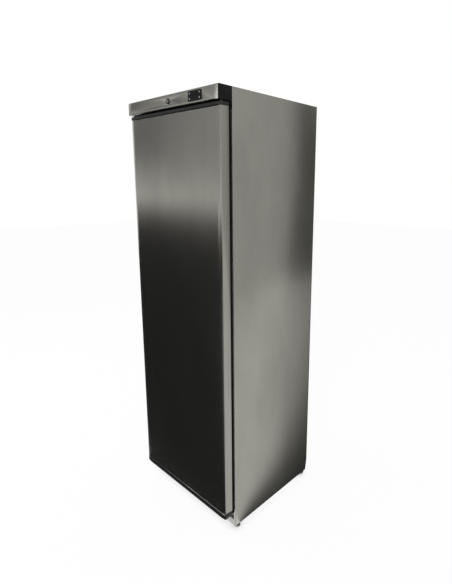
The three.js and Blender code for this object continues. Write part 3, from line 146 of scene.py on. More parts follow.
# Rear rollers
ROLLER_WIDTH = 0.017
ROLLER_HUB_WIDTH = 0.0344
ROLLER_AXLE = 0.0035
ROLLER_HUB = 0.006
ROLLER_WEB_INSET = 0.003
ROLLER_RIM = (0.004, 0.003, 0.001)  # depths of the rim's inner edge, flank and tread edge
ROLLER_TREAD_EDGE = 0.0012

# Lock and keys
LOCK_GAP = 0.0003
LOCK_BARREL_STEP = 0.0018
LOCK_FLANGE = 0.0016
LOCK_CHAMFER = (0.0008, 0.0005)
LOCK_MOUTH = 0.0007
KEY_DISH = ((0, 0.0002), (0.6, 0.00008), (0.8, 0))  # share of the radius, and depth
KEY_EDGE = ((-0.0001, 0.0003), (0, 0.0007))  # radius from the key's own, and depth

# Compressor
COMPRESSOR_LENGTH = 0.196
COMPRESSOR_WIDTH = 0.150
COMPRESSOR_HEIGHT = 0.148
LOWER_SHELL = (  # share of the radius, and height
    (0, -0.0015), (0.4, -0.001), (0.62, 0.001), (0.82, 0.008), (0.93, 0.021), (0.98, 0.037), (1, 0.055),
)
UPPER_SHELL = (
    (0.965, 0.108), (0.925, 0.121), (0.85, 0.132), (0.72, 0.1405), (0.5, 0.1458), (0.25, 0.1475),
    (0, COMPRESSOR_HEIGHT),
)
SEAM_LEVEL = 0.56  # share of the height
SEAM_SHARE = 0.985  # radius of the upper shell at the seam, as a share of the lower one's
SEAM_LIP = ((0.0026, 0), (0.003, 0.0006), (0.003, 0.0042), (0.0026, 0.005))
SEAM_HEIGHT = 0.005
COMPRESSOR_FOOT = (0.106, 0.064, 0.003)  # half length, half width and sheet
TERMINALS_START = 0.08
PORT_LEVEL = 0.36  # share of the height
PORT_LENGTH = 0.034
PORTS = ((0.024, 0.010, 0.004), (-0.024, 0, 0.003), (0, 0.005, 0.003))  # across, up and radius

# Rubber mounts and filter drier
MOUNT_CHAMFER = 0.0012
MOUNT_RIM_CHAMFER = 0.0007
MOUNT_GROOVE = 0.0085
MOUNT_GROOVE_HEIGHTS = (0.0045, 0.0056, 0.0076, 0.0094, 0.0118, 0.0130)
MOUNT_RIM_HEIGHTS = (0.0163, 0.017)
MOUNT_PIN = ((0.004, 0.017), (0.004, 0.0255), (0.0034, 0.026), (0, 0.026))  # radius and height
DRIER_NECK = (
    (0, 0), (0.003, 0), (0.003, 0.007), (0.0036, 0.0095), (0.0066, 0.013), (0.0084, 0.0148),
)
DRIER_SHOULDER = 0.018

# Door
GASKET_WIDTH = 0.018
GASKET_FOOT = ((0.0022, 0), (0.0022, 0.0026), (0.0050, 0.0036), (0.0034, 0.0058), (0.0056, 0.0080))
GASKET_HEAD = ((0.0010, 0.0052), (0, 0.0044), (0, 0.0008), (0.0008, 0))  # depth from its sealing face
DOOR_HEM_DEPTH = 0.006
HEM_BEAD = 0.0024
FLANGE_CORNER = 0.007
FLANGE_GAP = 0.0004

# Screws
SCREW_HEAD = 0.0038
SCREW_PROFILE = (  # share of the head's radius, and height
    (0, -0.0012), (0.5, -0.0012), (1, -0.0002), (1, 0.0006), (0.86, 0.0015), (0.55, 0.0021),
    (0.2, 0.0023), (0, 0.0023),
)
CROSS_LEVEL = 0.0022
CROSS_SIZE = (0.9, 0.16)  # length and width of its arms, as shares of the head's radius
CROSS_DEPTH = 0.0003
BACK_SCREW_ROWS = 6
BACK_SCREW_EDGE = 0.022
BACK_SCREW_ENDS = (0.02, 0.03)  # from the lower and the upper edge
LID_SCREWS = (-0.15, 0.0, 0.15)
LID_SCREW_DROP = 0.012
TRAY_SCREWS = (-0.285, 0.285)
TRAY_SCREW_DROP = 0.008
PLINTH_SCREW_EDGE = 0.02

# Stage: the cards that the steel mirrors, in metres, and their grey levels, where 1 is white
CARD_REACH = 24
CARD_RISE = 0.004
CARD_TINT = (1, 0.99, 0.93)
FRONT_WALL = 5.0
SIDE_WALL = 4.0
WALL_HEIGHT = 7.0
PATCH_GAP = 0.1
FRONT_WALL_TONES = (  # height, and grey level
    (0, 0.012), (1.1, 0.012), (1.38, 0.09), (1.6, 0.4), (1.92, 0.9), (2.4, 0.45), (3.4, 0.38), (7.0, 0.3),
)
FRONT_FLOORS = (  # name, grey level, and corners: across, and in front of the door
    ("near_floor", 1.0, ((-24, 0.015), (8, 0.015), (8, -0.1), (-24, -0.1))),
    ("dark_floor", 0.02, ((-24, 5), (-2.6, 5), (0.35, 0.015), (-24, 0.015))),
    ("right_floor", 0.3, ((-2.6, 5), (8, 5), (8, 0.015), (0.35, 0.015))),
)
WALL_PATCHES = (  # name, grey level, span across and span in height
    ("strip_light", 1.8, (-2.4, -1.2), (1.2, 4.5)),
    ("dark_corner", 0.14, (-14, -7.3), (3.1, WALL_HEIGHT)),
)
SIDE_SLOPES = (0.8, 1.6)  # metres along the side per metre across, from the cards' own origin
SIDE_FLOOR_TONES = ((0.8, 0.66), (1.05, 0.67), (1.15, 0.68), (1.22, 0.64), (1.3, 0.55), (1.42, 0.44))
SIDE_WALL_TONES = ((0.8, 0.5), (1.0, 0.5), (1.12, 0.47), (1.22, 0.34), (1.32, 0.14), (1.42, 0.06))
SIDE_SPREAD = 5.0  # slope at which the side cards end
SHADOW_TONES = ((0, 0.1), (0.12, 0.17), (0.19, 0.42), (0.25, 0.7), (0.32, 0.93), (0.4, 1.0))

# Floor, world and lamps
FLOOR_REACH = 14
FLOOR_GREY = 0.9
FLOOR_GLOW = 0.94
CONTACT_SHADOW = 0.03
SOFT_LIGHT = 0.75
LAMPS = (  # name, place, aim, size and power
    ("main_light", (1.9, -2.6, 3.1), (0, 0, 1), 1.6, 60),
    ("fill_light", (-2.6, -1.2, 2.4), (0, 0, 0.9), 1.4, 25),
)

REFINED_NODES = (
    "side_panel_left", "side_panel_right", "top_panel", "plinth", "fascia_panel", "fascia_cap_left",
    "fascia_cap_right", "controller_housing", "door_trim_top", "door_trim_bottom",
    "door_liner", "inner_liner", "grip_cup", "relay_cover", "compressor_tray",
)

# ---------------------------------------------------------------- materials


def shader_material(name, color, roughness, metallic=0.0):
    """A material with a Principled shader. Returns it with its node tree and shader."""
    material = bpy.data.materials.new(name)
    material.use_nodes = True
    tree = material.node_tree
    shader = tree.nodes["Principled BSDF"]
    shader.inputs["Base Color"].default_value = (*color, 1)
    shader.inputs["Roughness"].default_value = roughness
    shader.inputs["Metallic"].default_value = metallic
    return material, tree, shader


def noise(tree, scale, stretch=(1, 1, 1), detail=3.0):
    """Noise over the object's own coordinates, stretched along its axes."""
    place = tree.nodes.new("ShaderNodeTexCoord")
    mapping = tree.nodes.new("ShaderNodeMapping")
    texture = tree.nodes.new("ShaderNodeTexNoise")
    mapping.inputs["Scale"].default_value = stretch
    texture.inputs["Scale"].default_value = scale
    texture.inputs["Detail"].default_value = detail
    tree.links.new(place.outputs["Object"], mapping.inputs["Vector"])
    tree.links.new(mapping.outputs["Vector"], texture.inputs["Vector"])
    return texture.outputs["Fac"]


def roughness_follows(tree, shader, factor, low, high):
    """The roughness goes from low to high with the factor."""
    spread = tree.nodes.new("ShaderNodeMapRange")
    spread.inputs["From Min"].default_value = 0.3
    spread.inputs["From Max"].default_value = 0.7
    spread.inputs["To Min"].default_value = low
    spread.inputs["To Max"].default_value = high
    tree.links.new(factor, spread.inputs["Value"])
    tree.links.new(spread.outputs["Result"], shader.inputs["Roughness"])


def color_follows(tree, shader, factor, first, second, low=0.35, high=0.65):
    """The colour goes from the first to the second while the factor goes from low to high."""
    ramp = tree.nodes.new("ShaderNodeValToRGB")
    for element, color, position in zip(ramp.color_ramp.elements, (first, second), (low, high)):
        element.position = position
        element.color = (*color, 1)
    tree.links.new(factor, ramp.inputs["Fac"])
    tree.links.new(ramp.outputs["Color"], shader.inputs["Base Color"])


def bump(tree, shader, height, strength, distance):
    """Relief that follows a height. Its distance is in metres."""
    node = tree.nodes.new("ShaderNodeBump")
    node.inputs["Strength"].default_value = strength
    node.inputs["Distance"].default_value = distance
    tree.links.new(height, node.inputs["Height"])
    tree.links.new(node.outputs["Normal"], shader.inputs["Normal"])


def tone(color, factor):
    """A lighter or darker tone of a colour."""
    return tuple(min(1.0, channel * factor) for channel in color)


def brushed_steel():
    """Brushed stainless sheet: fine upright lines, soft clouds from rolling and wiping."""
    color = (0.46, 0.455, 0.43)
    material, tree, shader = shader_material("stainless", color, 0.3, 1.0)
    shader.inputs["Anisotropic"].default_value = 0.35
    lines = noise(tree, 1900, (1, 1, 0.005), 2.0)
    clouds = noise(tree, 5.5, (1, 1, 0.45), 4.0)
    color_follows(tree, shader, clouds, tone(color, 0.93), tone(color, 1.07))
    roughness_follows(tree, shader, lines, 0.21, 0.27)
    bump(tree, shader, lines, 0.1, 0.00004)
    return material


def galvanised_steel():
    """Galvanised sheet with its spangle."""
    color = (0.50, 0.51, 0.515)
    material, tree, shader = shader_material("galvanised", color, 0.45, 1.0)
    place = tree.nodes.new("ShaderNodeTexCoord")
    spangle = tree.nodes.new("ShaderNodeTexVoronoi")
    spangle.inputs["Scale"].default_value = 110
    tree.links.new(place.outputs["Object"], spangle.inputs["Vector"])
    split = tree.nodes.new("ShaderNodeSeparateColor")
    tree.links.new(spangle.outputs["Color"], split.inputs["Color"])
    facets = split.outputs["Red"]
    color_follows(tree, shader, facets, tone(color, 0.9), tone(color, 1.07), 0, 1)
    roughness_follows(tree, shader, facets, 0.4, 0.47)
    return material


def zinc_plated_steel():
    """Zinc plate with a faint yellow cast in places."""
    color = (0.56, 0.56, 0.53)
    material, tree, shader = shader_material("zinc_plated", color, 0.35, 1.0)
    clouds = noise(tree, 90)
    color_follows(tree, shader, clouds, tone(color, 0.88), (0.58, 0.56, 0.49))
    roughness_follows(tree, shader, clouds, 0.28, 0.42)
    return material


def bright_steel():
    """Polished steel with fine wear."""
    color = (0.68, 0.68, 0.67)
    material, tree, shader = shader_material("bright_steel", color, 0.16, 1.0)
    wear = noise(tree, 700, (1, 1, 0.2))
    color_follows(tree, shader, wear, tone(color, 0.94), color)
    roughness_follows(tree, shader, wear, 0.12, 0.22)
    return material


def copper():
    """Drawn copper tube, tarnished in places."""
    color = (0.60, 0.30, 0.18)
    material, tree, shader = shader_material("copper", color, 0.32, 1.0)
    tarnish = noise(tree, 45)
    color_follows(tree, shader, tarnish, tone(color, 0.62), color)
    roughness_follows(tree, shader, tarnish, 0.42, 0.26)
    return material


def black_paint():
    """Stoved black paint with a slight orange peel and dust on it."""
    color = (0.012, 0.012, 0.013)
    material, tree, shader = shader_material("black_steel", color, 0.42)
    dust = noise(tree, 60)
    color_follows(tree, shader, dust, color, (0.024, 0.023, 0.022), 0.5, 0.8)
    roughness_follows(tree, shader, dust, 0.34, 0.5)
    bump(tree, shader, noise(tree, 900), 0.15, 0.0001)
    return material


def moulded(name, color, roughness, grain=1400, depth=0.00006, gloss=0.5, clouding=0.06):
    """Moulded plastic with a fine spark-eroded grain and a faint clouding."""
    material, tree, shader = shader_material(name, color, roughness)
    shader.inputs["Specular IOR Level"].default_value = gloss
    clouds = noise(tree, 25)
    color_follows(tree, shader, clouds, tone(color, 1 - clouding), tone(color, 1 + clouding))
    roughness_follows(tree, shader, clouds, roughness - 0.04, roughness + 0.05)
    bump(tree, shader, noise(tree, grain), 0.25, depth)
    return material


def rubber(name, color):
    """Soft rubber: dull, with pale dust in its pores and a faint sheen."""
    material, tree, shader = shader_material(name, color, 0.7)
    shader.inputs["Sheen Weight"].default_value = 0.15
    pores = noise(tree, 480)
    color_follows(tree, shader, pores, color, tone(color, 1.5), 0.45, 0.8)
    bump(tree, shader, pores, 0.2, 0.0001)
    return material


def insulating_foam():
    """Rigid foam with open cells on its cut faces."""
    color = (0.72, 0.60, 0.33)
    material, tree, shader = shader_material("foam", color, 0.95)
    cells = noise(tree, 350)
    color_follows(tree, shader, cells, tone(color, 0.85), color)
    bump(tree, shader, cells, 0.5, 0.0006)
    return material


def display_window():
    """The dark window over the controller's display."""
    color = (0.003, 0.0035, 0.004)
    material, tree, shader = shader_material("window", color, 0.09)
    shader.inputs["Specular IOR Level"].default_value = 0.2
    haze = noise(tree, 160)
    color_follows(tree, shader, haze, color, tone(color, 1.6))
    roughness_follows(tree, shader, haze, 0.07, 0.13)
    return material


materials = {
    "stainless": brushed_steel(),
    "galvanised": galvanised_steel(),
    "zinc_plated": zinc_plated_steel(),
    "liner": moulded("liner", (0.78, 0.79, 0.78), 0.32, 260, 0.00008, clouding=0.012),
    "foam": insulating_foam(),
    "black_plastic": moulded("black_plastic", (0.0065, 0.0065, 0.007), 0.42, gloss=0.14),
    "dark_grey_plastic": moulded("dark_grey_plastic", (0.010, 0.0102, 0.0105), 0.4),
    "black_steel": black_paint(),
    "gasket": rubber("gasket", (0.018, 0.019, 0.021)),
    "mount_rubber": rubber("mount_rubber", (0.012, 0.012, 0.012)),
    "nylon": moulded("nylon", (0.36, 0.36, 0.335), 0.4, 500, clouding=0.03),
    "coated_tube": moulded("coated_tube", (0.74, 0.76, 0.75), 0.3, 420, clouding=0.03),
    "copper": copper(),
    "bright_steel": bright_steel(),
    "window": display_window(),
    "key_grey": moulded("key_grey", (0.3, 0.3, 0.295), 0.4),
}

# ---------------------------------------------------------------- pieces and how they ride


def new_piece(name, mesh):
    """An object for a bmesh, which it uses up."""
    data = bpy.data.meshes.new(name)
    bmesh.ops.recalc_face_normals(mesh, faces=mesh.faces)
    mesh.to_mesh(data)
    mesh.free()
    piece = bpy.data.objects.new(name, data)
    bpy.context.scene.collection.objects.link(piece)
    return piece


def settle(piece, slot, body):
    """Gives a piece its finish and the body it rides on."""
    piece.data.materials.clear()
    piece.data.materials.append(materials[slot])
    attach(piece, body)
    return piece


def stands_for(piece, node):
    """The piece takes the finish, the body and the place of a CAD node."""
    settle(piece, slot_of_node[node], body_of_node[node])
    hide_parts(node)
    return piece


def middle_of(node):
    """The middle of a node's box, with its two corners."""
    low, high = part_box(node)
    return (low + high) / 2, low, high


def inner_box(node, radius):
    """A node's box drawn in by a tube's radius, so its corners lie on the tube's axis."""
    low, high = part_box(node)
    margin = Vector((radius, radius, radius))
    return low + margin, high - margin


def flanges_to_trim(mesh):
    """Draws the door's side flanges up until they meet the trim over them."""
    hem = door_low.y + DOOR_HEM_DEPTH
    flange = [vertex for vertex in mesh.verts if vertex.co.y > hem - TOLERANCE]
    top = max(vertex.co.z for vertex in flange if vertex.co.y > hem + STEEL_SHEET)
    for vertex in flange:
        if top - FLANGE_CORNER - STEEL_SHEET < vertex.co.z < top + TOLERANCE:
            vertex.co.z += door_high.z - FLANGE_GAP - top


def refined(node, reshape=None):
    """A copy of a node with its edges eased and its bends shaded round stands for it."""
    mesh = bmesh.new()
    mesh.from_mesh(nodes[node].data)
    bmesh.ops.remove_doubles(mesh, verts=mesh.verts, dist=SAME_POINT)
    if reshape:
        reshape(mesh)
    bmesh.ops.dissolve_limit(mesh, angle_limit=FLAT_ANGLE, verts=mesh.verts, edges=mesh.edges)
    piece = new_piece(node + "_finished", mesh)
    edges = piece.modifiers.new("edges", "BEVEL")
    edges.width = EASED_EDGE
    edges.segments = 2
    edges.limit_method = "ANGLE"
    edges.angle_limit = CREASE_ANGLE
    edges.harden_normals = True
    piece.data.shade_smooth()
    return stands_for(piece, node)


# ---------------------------------------------------------------- turned, bent and boxed forms


def lathe(mesh, profile, place, axis="Z", sides=48):
    """Turns [radius, height] points about an axis through a place."""
    turn = {"X": Matrix.Rotation(math.pi / 2, 4, "Y"), "Y": Matrix.Rotation(-math.pi / 2, 4, "X")}
    to_place = Matrix.Translation(place) @ turn.get(axis, Matrix.Identity(4))
    angles = [2 * math.pi * k / sides for k in range(sides)]
    rings = []
    for radius, height in profile:
        points = [Vector((radius * math.cos(a), radius * math.sin(a), height)) for a in angles]
        if radius < SAME_POINT:
            points = [Vector((0, 0, height))]
        rings.append([mesh.verts.new(to_place @ point) for point in points])
    for lower, upper in zip(rings, rings[1:]):
        for k in range(sides):
            corners = [lower[k % len(lower)], lower[(k + 1) % len(lower)]]
            corners += [upper[(k + 1) % len(upper)], upper[k % len(upper)]]
            unique = list(dict.fromkeys(corners))
            if len(unique) > 2:
                mesh.faces.new(unique).smooth = True


def turned_piece(name, profile, place, axis="Z", sides=48):
    """A piece that is one turned form."""
    mesh = bmesh.new()
    lathe(mesh, profile, place, axis, sides)
    return new_piece(name, mesh)


def route(corners):
    """Stations [point, direction] along corners [x, y, z, bend radius]."""
    points = [Vector(corner[:3]) for corner in corners]
    bends = [corner[3] for corner in corners[1:-1]]
    stations = [(points[0], (points[1] - points[0]).normalized())]
    for before, corner, after, bend in zip(points, points[1:], points[2:], bends):
        into = (corner - before).normalized()
        out = (after - corner).normalized()
        angle = into.angle(out)
        if angle < STRAIGHT:
            continue
        axis = into.cross(out).normalized()
        start = corner - into * bend * math.tan(angle / 2)
        centre = start + axis.cross(into) * bend
        steps = max(1, round(angle / BEND_STEP))
        for k in range(steps + 1):
            turn = Matrix.Rotation(angle * k / steps, 3, axis)
            station = (centre + turn @ (start - centre), turn @ into)
            if (station[0] - stations[-1][0]).length > 10 * SAME_POINT:
                stations.append(station)
    stations.append((points[-1], (points[-1] - points[-2]).normalized()))
    return stations


def tube(mesh, corners, radius, sides=14):
    """A round tube along corners [x, y, z, bend radius], with closed ends."""
    stations = route(corners)
    angles = [2 * math.pi * k / sides for k in range(sides)]
    side = stations[0][1].orthogonal().normalized()
    previous = stations[0][1]
    rings = []
    for point, direction in stations:
        side = previous.rotation_difference(direction) @ side
        side = (side - direction * side.dot(direction)).normalized()
        other = direction.cross(side)
        ring = [point + (side * math.cos(a) + other * math.sin(a)) * radius for a in angles]
        rings.append([mesh.verts.new(vertex) for vertex in ring])
        previous = direction
    for lower, upper in zip(rings, rings[1:]):
        for k in range(sides):
            n = (k + 1) % sides
            mesh.faces.new((lower[k], lower[n], upper[n], upper[k])).smooth = True
    mesh.faces.new(list(reversed(rings[0])))
    mesh.faces.new(rings[-1])


def block(mesh, low, high):
    """A box between two corners."""
    size = [b - a for a, b in zip(low, high)]
    middle = [(a + b) / 2 for a, b in zip(low, high)]
    bmesh.ops.create_cube(mesh, matrix=Matrix.Translation(middle) @ Matrix.Diagonal((*size, 1)))


def evenly(count, start, end):
    """Numbers at equal steps from the start to the end."""
    return [start + (end - start) * k / (count - 1) for k in range(count)]


def over_corners(radius):
    """Half the width of one of the model's six-sided tubes, over its corners."""
    return radius / math.cos(math.pi / 6)


# ---------------------------------------------------------------- evaporator and condenser

shelf_floor = {k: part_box(f"evaporator_shelf_{k}")[0].z for k in range(2, SHELF_COUNT + 1)}
shelf_pitch = (shelf_floor[SHELF_COUNT] - shelf_floor[2]) / (SHELF_COUNT - 2)


def shelf_level(number):
    """Axis of a shelf's tube. Each riser starts a fixed length below the shelf that it feeds."""
    return shelf_floor[2] + RISER_STUB + shelf_pitch * (number - 2)


def evaporator_shelf(number):
    """A shelf's winding tube with its risers, and every wire across it."""
    node = f"evaporator_shelf_{number}"
    low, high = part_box(node)
    reach = over_corners(EVAPORATOR_TUBE)
    half, front, rear = high.x - reach, low.y + reach, high.y - reach
    level = shelf_level(number)
    side = 1 if number % 2 == 1 else -1
    passes = evenly(EVAPORATOR_PASSES, -side * half, side * half)
    bend = half / (EVAPORATOR_PASSES - 1)
    corners = [(passes[0], rear, low.z, 0)]
    for k, x in enumerate(passes):
        start, end = (rear, front) if k % 2 == 0 else (front, rear)
        corners.append((x, start, level, RISER_BEND if k == 0 else bend))
        corners.append((x, end, level, RISER_BEND if k == EVAPORATOR_PASSES - 1 else bend))
    if number < SHELF_COUNT:
        corners.append((passes[-1], rear, high.z, 0))
    mesh = bmesh.new()
    tube(mesh, corners, EVAPORATOR_TUBE)
    wire_level = level + EVAPORATOR_TUBE + EVAPORATOR_WIRE - WELD_SINK
    wire_end = half + SHELF_WIRE_OVERHANG
    for y in evenly(SHELF_WIRES, front + SHELF_WIRE_START, rear - 2 * RISER_BEND):
        ends = [(x, y, wire_level, 0) for x in (-wire_end, wire_end)]
        tube(mesh, ends, EVAPORATOR_WIRE, 8)
    stands_for(new_piece(f"shelf_{number}", mesh), node)


def condenser_tube(levels, left, riser, y, floor_level):
    """Corners of the winding tube, from its riser's foot down to its tail."""
    bend = (levels[0] - levels[1]) / 2
    corners = [(riser, y, floor_level, 0), (riser, y, levels[0], CONDENSER_RISER_BEND)]
    corners.append((left, y, levels[0], bend))
    for k, z in enumerate(levels[1:]):
        start, end = (left, -left) if k % 2 == 0 else (-left, left)
        corners += [(start, y, z, bend), (end, y, z, bend)]
    corners[-1] = (left, y, levels[-1], CONDENSER_RISER_BEND)
    corners.append((left, y, floor_level, 0))
    return corners


def condenser_strip(mesh, x, bottom, top, face, back):
    """An upright strip behind the wires, with feet that reach to the cabinet's back."""
    left, right = x - STRIP_HALF, x + STRIP_HALF
    block(mesh, (left, face - STRIP_SHEET, bottom), (right, face, top))
    for z in evenly(STRIP_FEET, bottom + STRIP_HALF, top - STRIP_HALF):
        foot_low = (left, back + SEAT_GAP, z - STRIP_HALF)
        block(mesh, foot_low, (right, face - STRIP_SHEET / 2, z + STRIP_HALF))


def condenser():
    """The winding tube on the back, its upright wires and the two strips that hold it."""
    low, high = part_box("condenser")
    back_low, back_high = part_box("back_panel")
    reach = over_corners(CONDENSER_TUBE)
    left = low.x + reach
    y = high.y - 2 * CONDENSER_WIRE - WELD_GAP - CONDENSER_TUBE
    top = high.z - CONDENSER_OVERHANG
    bottom = back_low.z + CONDENSER_RISE
    levels = evenly(CONDENSER_PASSES, top, bottom)
    mesh = bmesh.new()
    tube(mesh, condenser_tube(levels, left, high.x - reach, y, low.z), CONDENSER_TUBE, 12)
    span = -left - (levels[0] - levels[1]) / 2 - 2 * CONDENSER_WIRE
    wire_heights = (bottom - CONDENSER_WIRE_OVERHANG, top + CONDENSER_WIRE_OVERHANG)
    for side in (-1, 1):
        wire_plane = y + side * (CONDENSER_TUBE + CONDENSER_WIRE - WELD_SINK)
        for x in evenly(CONDENSER_WIRES, -span, span):
            tube(mesh, [(x, wire_plane, z, 0) for z in wire_heights], CONDENSER_WIRE, 6)
    face = y - CONDENSER_TUBE - 2 * CONDENSER_WIRE
    for x in (-STRIP_PLACE * span, STRIP_PLACE * span):
        condenser_strip(mesh, x, bottom - CONDENSER_OVERHANG, high.z, face, back_high.y)
    stands_for(new_piece("condenser_coil", mesh), "condenser")


# ---------------------------------------------------------------- turned pieces of the model


def levelling_foot(side):
    """A foot: a pad with a rounded rim, its threaded stem and the collar around the stem."""
    node = f"levelling_foot_{side}"
    middle, low, high = middle_of(node)
    pad = (high.y - low.y) / 2
    place = (middle.x, middle.y, 0)
    profile = [(0, 0)] + [(pad + radius, height) for radius, height in FOOT_RIM]
    profile += [(FOOT_STEM, FOOT_STEM_START), (FOOT_STEM, FOOT_THREAD_START)]
    height = FOOT_THREAD_START
    while height + FOOT_THREAD_PITCH < high.z - FOOT_THREAD_MARGIN:
        profile.append((FOOT_STEM, height + 0.25 * FOOT_THREAD_PITCH))
        profile.append((FOOT_THREAD_ROOT, height + 0.75 * FOOT_THREAD_PITCH))
        height += FOOT_THREAD_PITCH
    profile += [(FOOT_TIP, high.z), (0, high.z)]
    stands_for(turned_piece(f"foot_{side}_turned", profile, place, sides=40), node)
    collar = turned_piece(f"foot_{side}_collar", FOOT_COLLAR, place, sides=40)
    settle(collar, "black_plastic", body_of_node[node])


def rear_roller(side):
    """A roller: a tyre-shaped rim, a web with a raised hub, and its axle stubs."""
    node = f"rear_roller_{side}"
    middle, low, high = middle_of(node)
    radius = (high.y - low.y) / 2
    reach = (high.x - low.x) / 2
    hub = ROLLER_HUB_WIDTH / 2
    flank = ROLLER_WIDTH / 2
    web = flank - ROLLER_WEB_INSET
    inner, side_edge, tread_edge = [radius - depth for depth in ROLLER_RIM]
    profile = [(0, -reach), (ROLLER_AXLE, -reach), (ROLLER_AXLE, -hub), (ROLLER_HUB, -hub)]
    profile += [(ROLLER_HUB, -web), (inner, -web), (side_edge, -flank), (tread_edge, -flank)]
    profile += [(radius, -flank + ROLLER_TREAD_EDGE)]
    whole = profile + [(r, -x) for r, x in reversed(profile)]
    stands_for(turned_piece(f"roller_{side}_turned", whole, middle, "X", 56), node)


def lock_face():
    """The lock's round housing with a chamfered flange, around its cylinder."""
    middle, low, high = middle_of("lock_housing")
    cylinder_low, cylinder_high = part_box("lock_cylinder")
    outer = (high.x - low.x) / 2
    bore = (cylinder_high.x - cylinder_low.x) / 2 + LOCK_GAP
    barrel = outer - LOCK_BARREL_STEP
    face = low.y - middle.y
    rear = high.y - middle.y
    flange = face + LOCK_FLANGE
    profile = [(bore, rear), (barrel, rear), (barrel, flange), (outer, flange)]
    profile += [(outer, face + LOCK_CHAMFER[1]), (outer - LOCK_CHAMFER[0], face)]
    profile += [(bore + LOCK_MOUTH, face), (bore, face + LOCK_MOUTH), (bore, rear)]
    stands_for(turned_piece("lock_face", profile, middle, "Y"), "lock_housing")


def key(number):
    """A round key cap with a soft edge and a shallow dish."""
    node = f"controller_button_{number}"
    middle, low, high = middle_of(node)
    radius = (high.x - low.x) / 2
    front, rear = low.y - middle.y, high.y - middle.y
    profile = [(radius * share, front + depth) for share, depth in KEY_DISH]
    profile += [(radius + past, front + depth) for past, depth in KEY_EDGE]
    profile += [(radius, rear), (0, rear)]
    stands_for(turned_piece(f"key_{number}_cap", profile, middle, "Y", 32), node)


def compressor_shell(mesh, centre, base):
    """Two deep-drawn shells with the lip of their weld seam, drawn out along X."""
    radius = COMPRESSOR_WIDTH / 2
    seam = SEAM_LEVEL * COMPRESSOR_HEIGHT
    profile = [(share * radius, height) for share, height in LOWER_SHELL] + [(radius, seam)]
    profile += [(radius + past, seam + height) for past, height in SEAM_LIP]
    profile += [(SEAM_SHARE * radius, seam + SEAM_HEIGHT)]
    profile += [(share * radius, height) for share, height in UPPER_SHELL]
    lathe(mesh, profile, (0, 0, 0), sides=72)
    stretch = Matrix.Diagonal((COMPRESSOR_LENGTH / COMPRESSOR_WIDTH, 1, 1, 1))
    to_place = Matrix.Translation((centre.x, centre.y, base)) @ stretch
    bmesh.ops.transform(mesh, matrix=to_place, verts=mesh.verts)


def compressor():
    """The compressor: its shell, its foot plate, the box under the relay cover, and its ports."""
    low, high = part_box("compressor")
    mounts = [middle_of(f"compressor_mount_{k}")[0] for k in range(1, 5)]
    centre = sum(mounts, Vector()) / 4
    base = high.z - COMPRESSOR_HEIGHT
    mesh = bmesh.new()
    compressor_shell(mesh, centre, base)
    length, width, sheet = COMPRESSOR_FOOT
    foot_low = (centre.x - length, centre.y - width, base - sheet)
    block(mesh, foot_low, (centre.x + length, centre.y + width, base))
    relay_low, relay_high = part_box("relay_cover")
    terminals_low = (centre.x + TERMINALS_START, relay_low.y, relay_low.z)
    block(mesh, terminals_low, (relay_low.x - SEAT_GAP, relay_high.y, relay_high.z))
    for across, up, radius in PORTS:
        y = centre.y + across
        z = base + PORT_LEVEL * COMPRESSOR_HEIGHT + up
        tube(mesh, [(x, y, z, 0) for x in (low.x, low.x + PORT_LENGTH)], radius, 16)
    stands_for(new_piece("compressor_shell", mesh), "compressor")


def compressor_mount(number):
    """A rubber mount: two rings with a groove between them, and the pin that it stands on."""
    node = f"compressor_mount_{number}"
    middle, low, high = middle_of(node)
    radius = (high.y - low.y) / 2
    waist = radius - MOUNT_CHAMFER
    groove = (radius, waist, MOUNT_GROOVE, MOUNT_GROOVE, waist, radius)
    rim = (radius, radius - MOUNT_RIM_CHAMFER)
    profile = [(0, 0), (radius, 0), *zip(groove, MOUNT_GROOVE_HEIGHTS), *zip(rim, MOUNT_RIM_HEIGHTS)]
    profile += MOUNT_PIN
    place = (middle.x, middle.y, low.z)
    stands_for(turned_piece(f"mount_{number}_moulded", profile, place, sides=36), node)


def filter_drier():
    """The drier's shell, spun down to a neck at each end."""
    middle, low, high = middle_of("filter_drier")
    radius = (high.y - low.y) / 2
    length = high.z - low.z
    half = [*DRIER_NECK, (radius, DRIER_SHOULDER)]
    profile = half + [(r, length - z) for r, z in reversed(half)]
    place = (middle.x, middle.y, low.z)
    stands_for(turned_piece("drier_shell", profile, place, sides=36), "filter_drier")


# ---------------------------------------------------------------- refrigerant lines


def refrigerant_line(node, corners, radius, bend):
    """A refrigerant line bent from round tube, along corners [x, y, z]."""
    mesh = bmesh.new()
    tube(mesh, [(*corner, bend) for corner in corners], radius, 16)
    stands_for(new_piece(node + "_tube", mesh), node)


def discharge_line():
    """From the compressor round the back of the tray, and up to the condenser."""
    low, high = inner_box("discharge_line", SERVICE_TUBE)
    corners = [(low.x + 2 * LINE_BEND, low.y, low.z), (low.x, low.y, low.z), (low.x, high.y, low.z)]
    corners += [(high.x, high.y, low.z), (high.x, high.y, high.z + SERVICE_TUBE)]
    refrigerant_line("discharge_line", corners, SERVICE_TUBE, LINE_BEND)


def suction_line():
    """Down from the cabinet and into the compressor."""
    low, high = inner_box("suction_line", SUCTION_TUBE)
    port = high.x + SUCTION_TUBE
    corners = [(low.x, high.y, high.z + SUCTION_TUBE), (low.x, high.y, low.z)]
    corners += [(port + SEAT_GAP - 3 * LINE_BEND, low.y, low.z), (port, low.y, low.z)]
    refrigerant_line("suction_line", corners, SUCTION_TUBE, LINE_BEND)


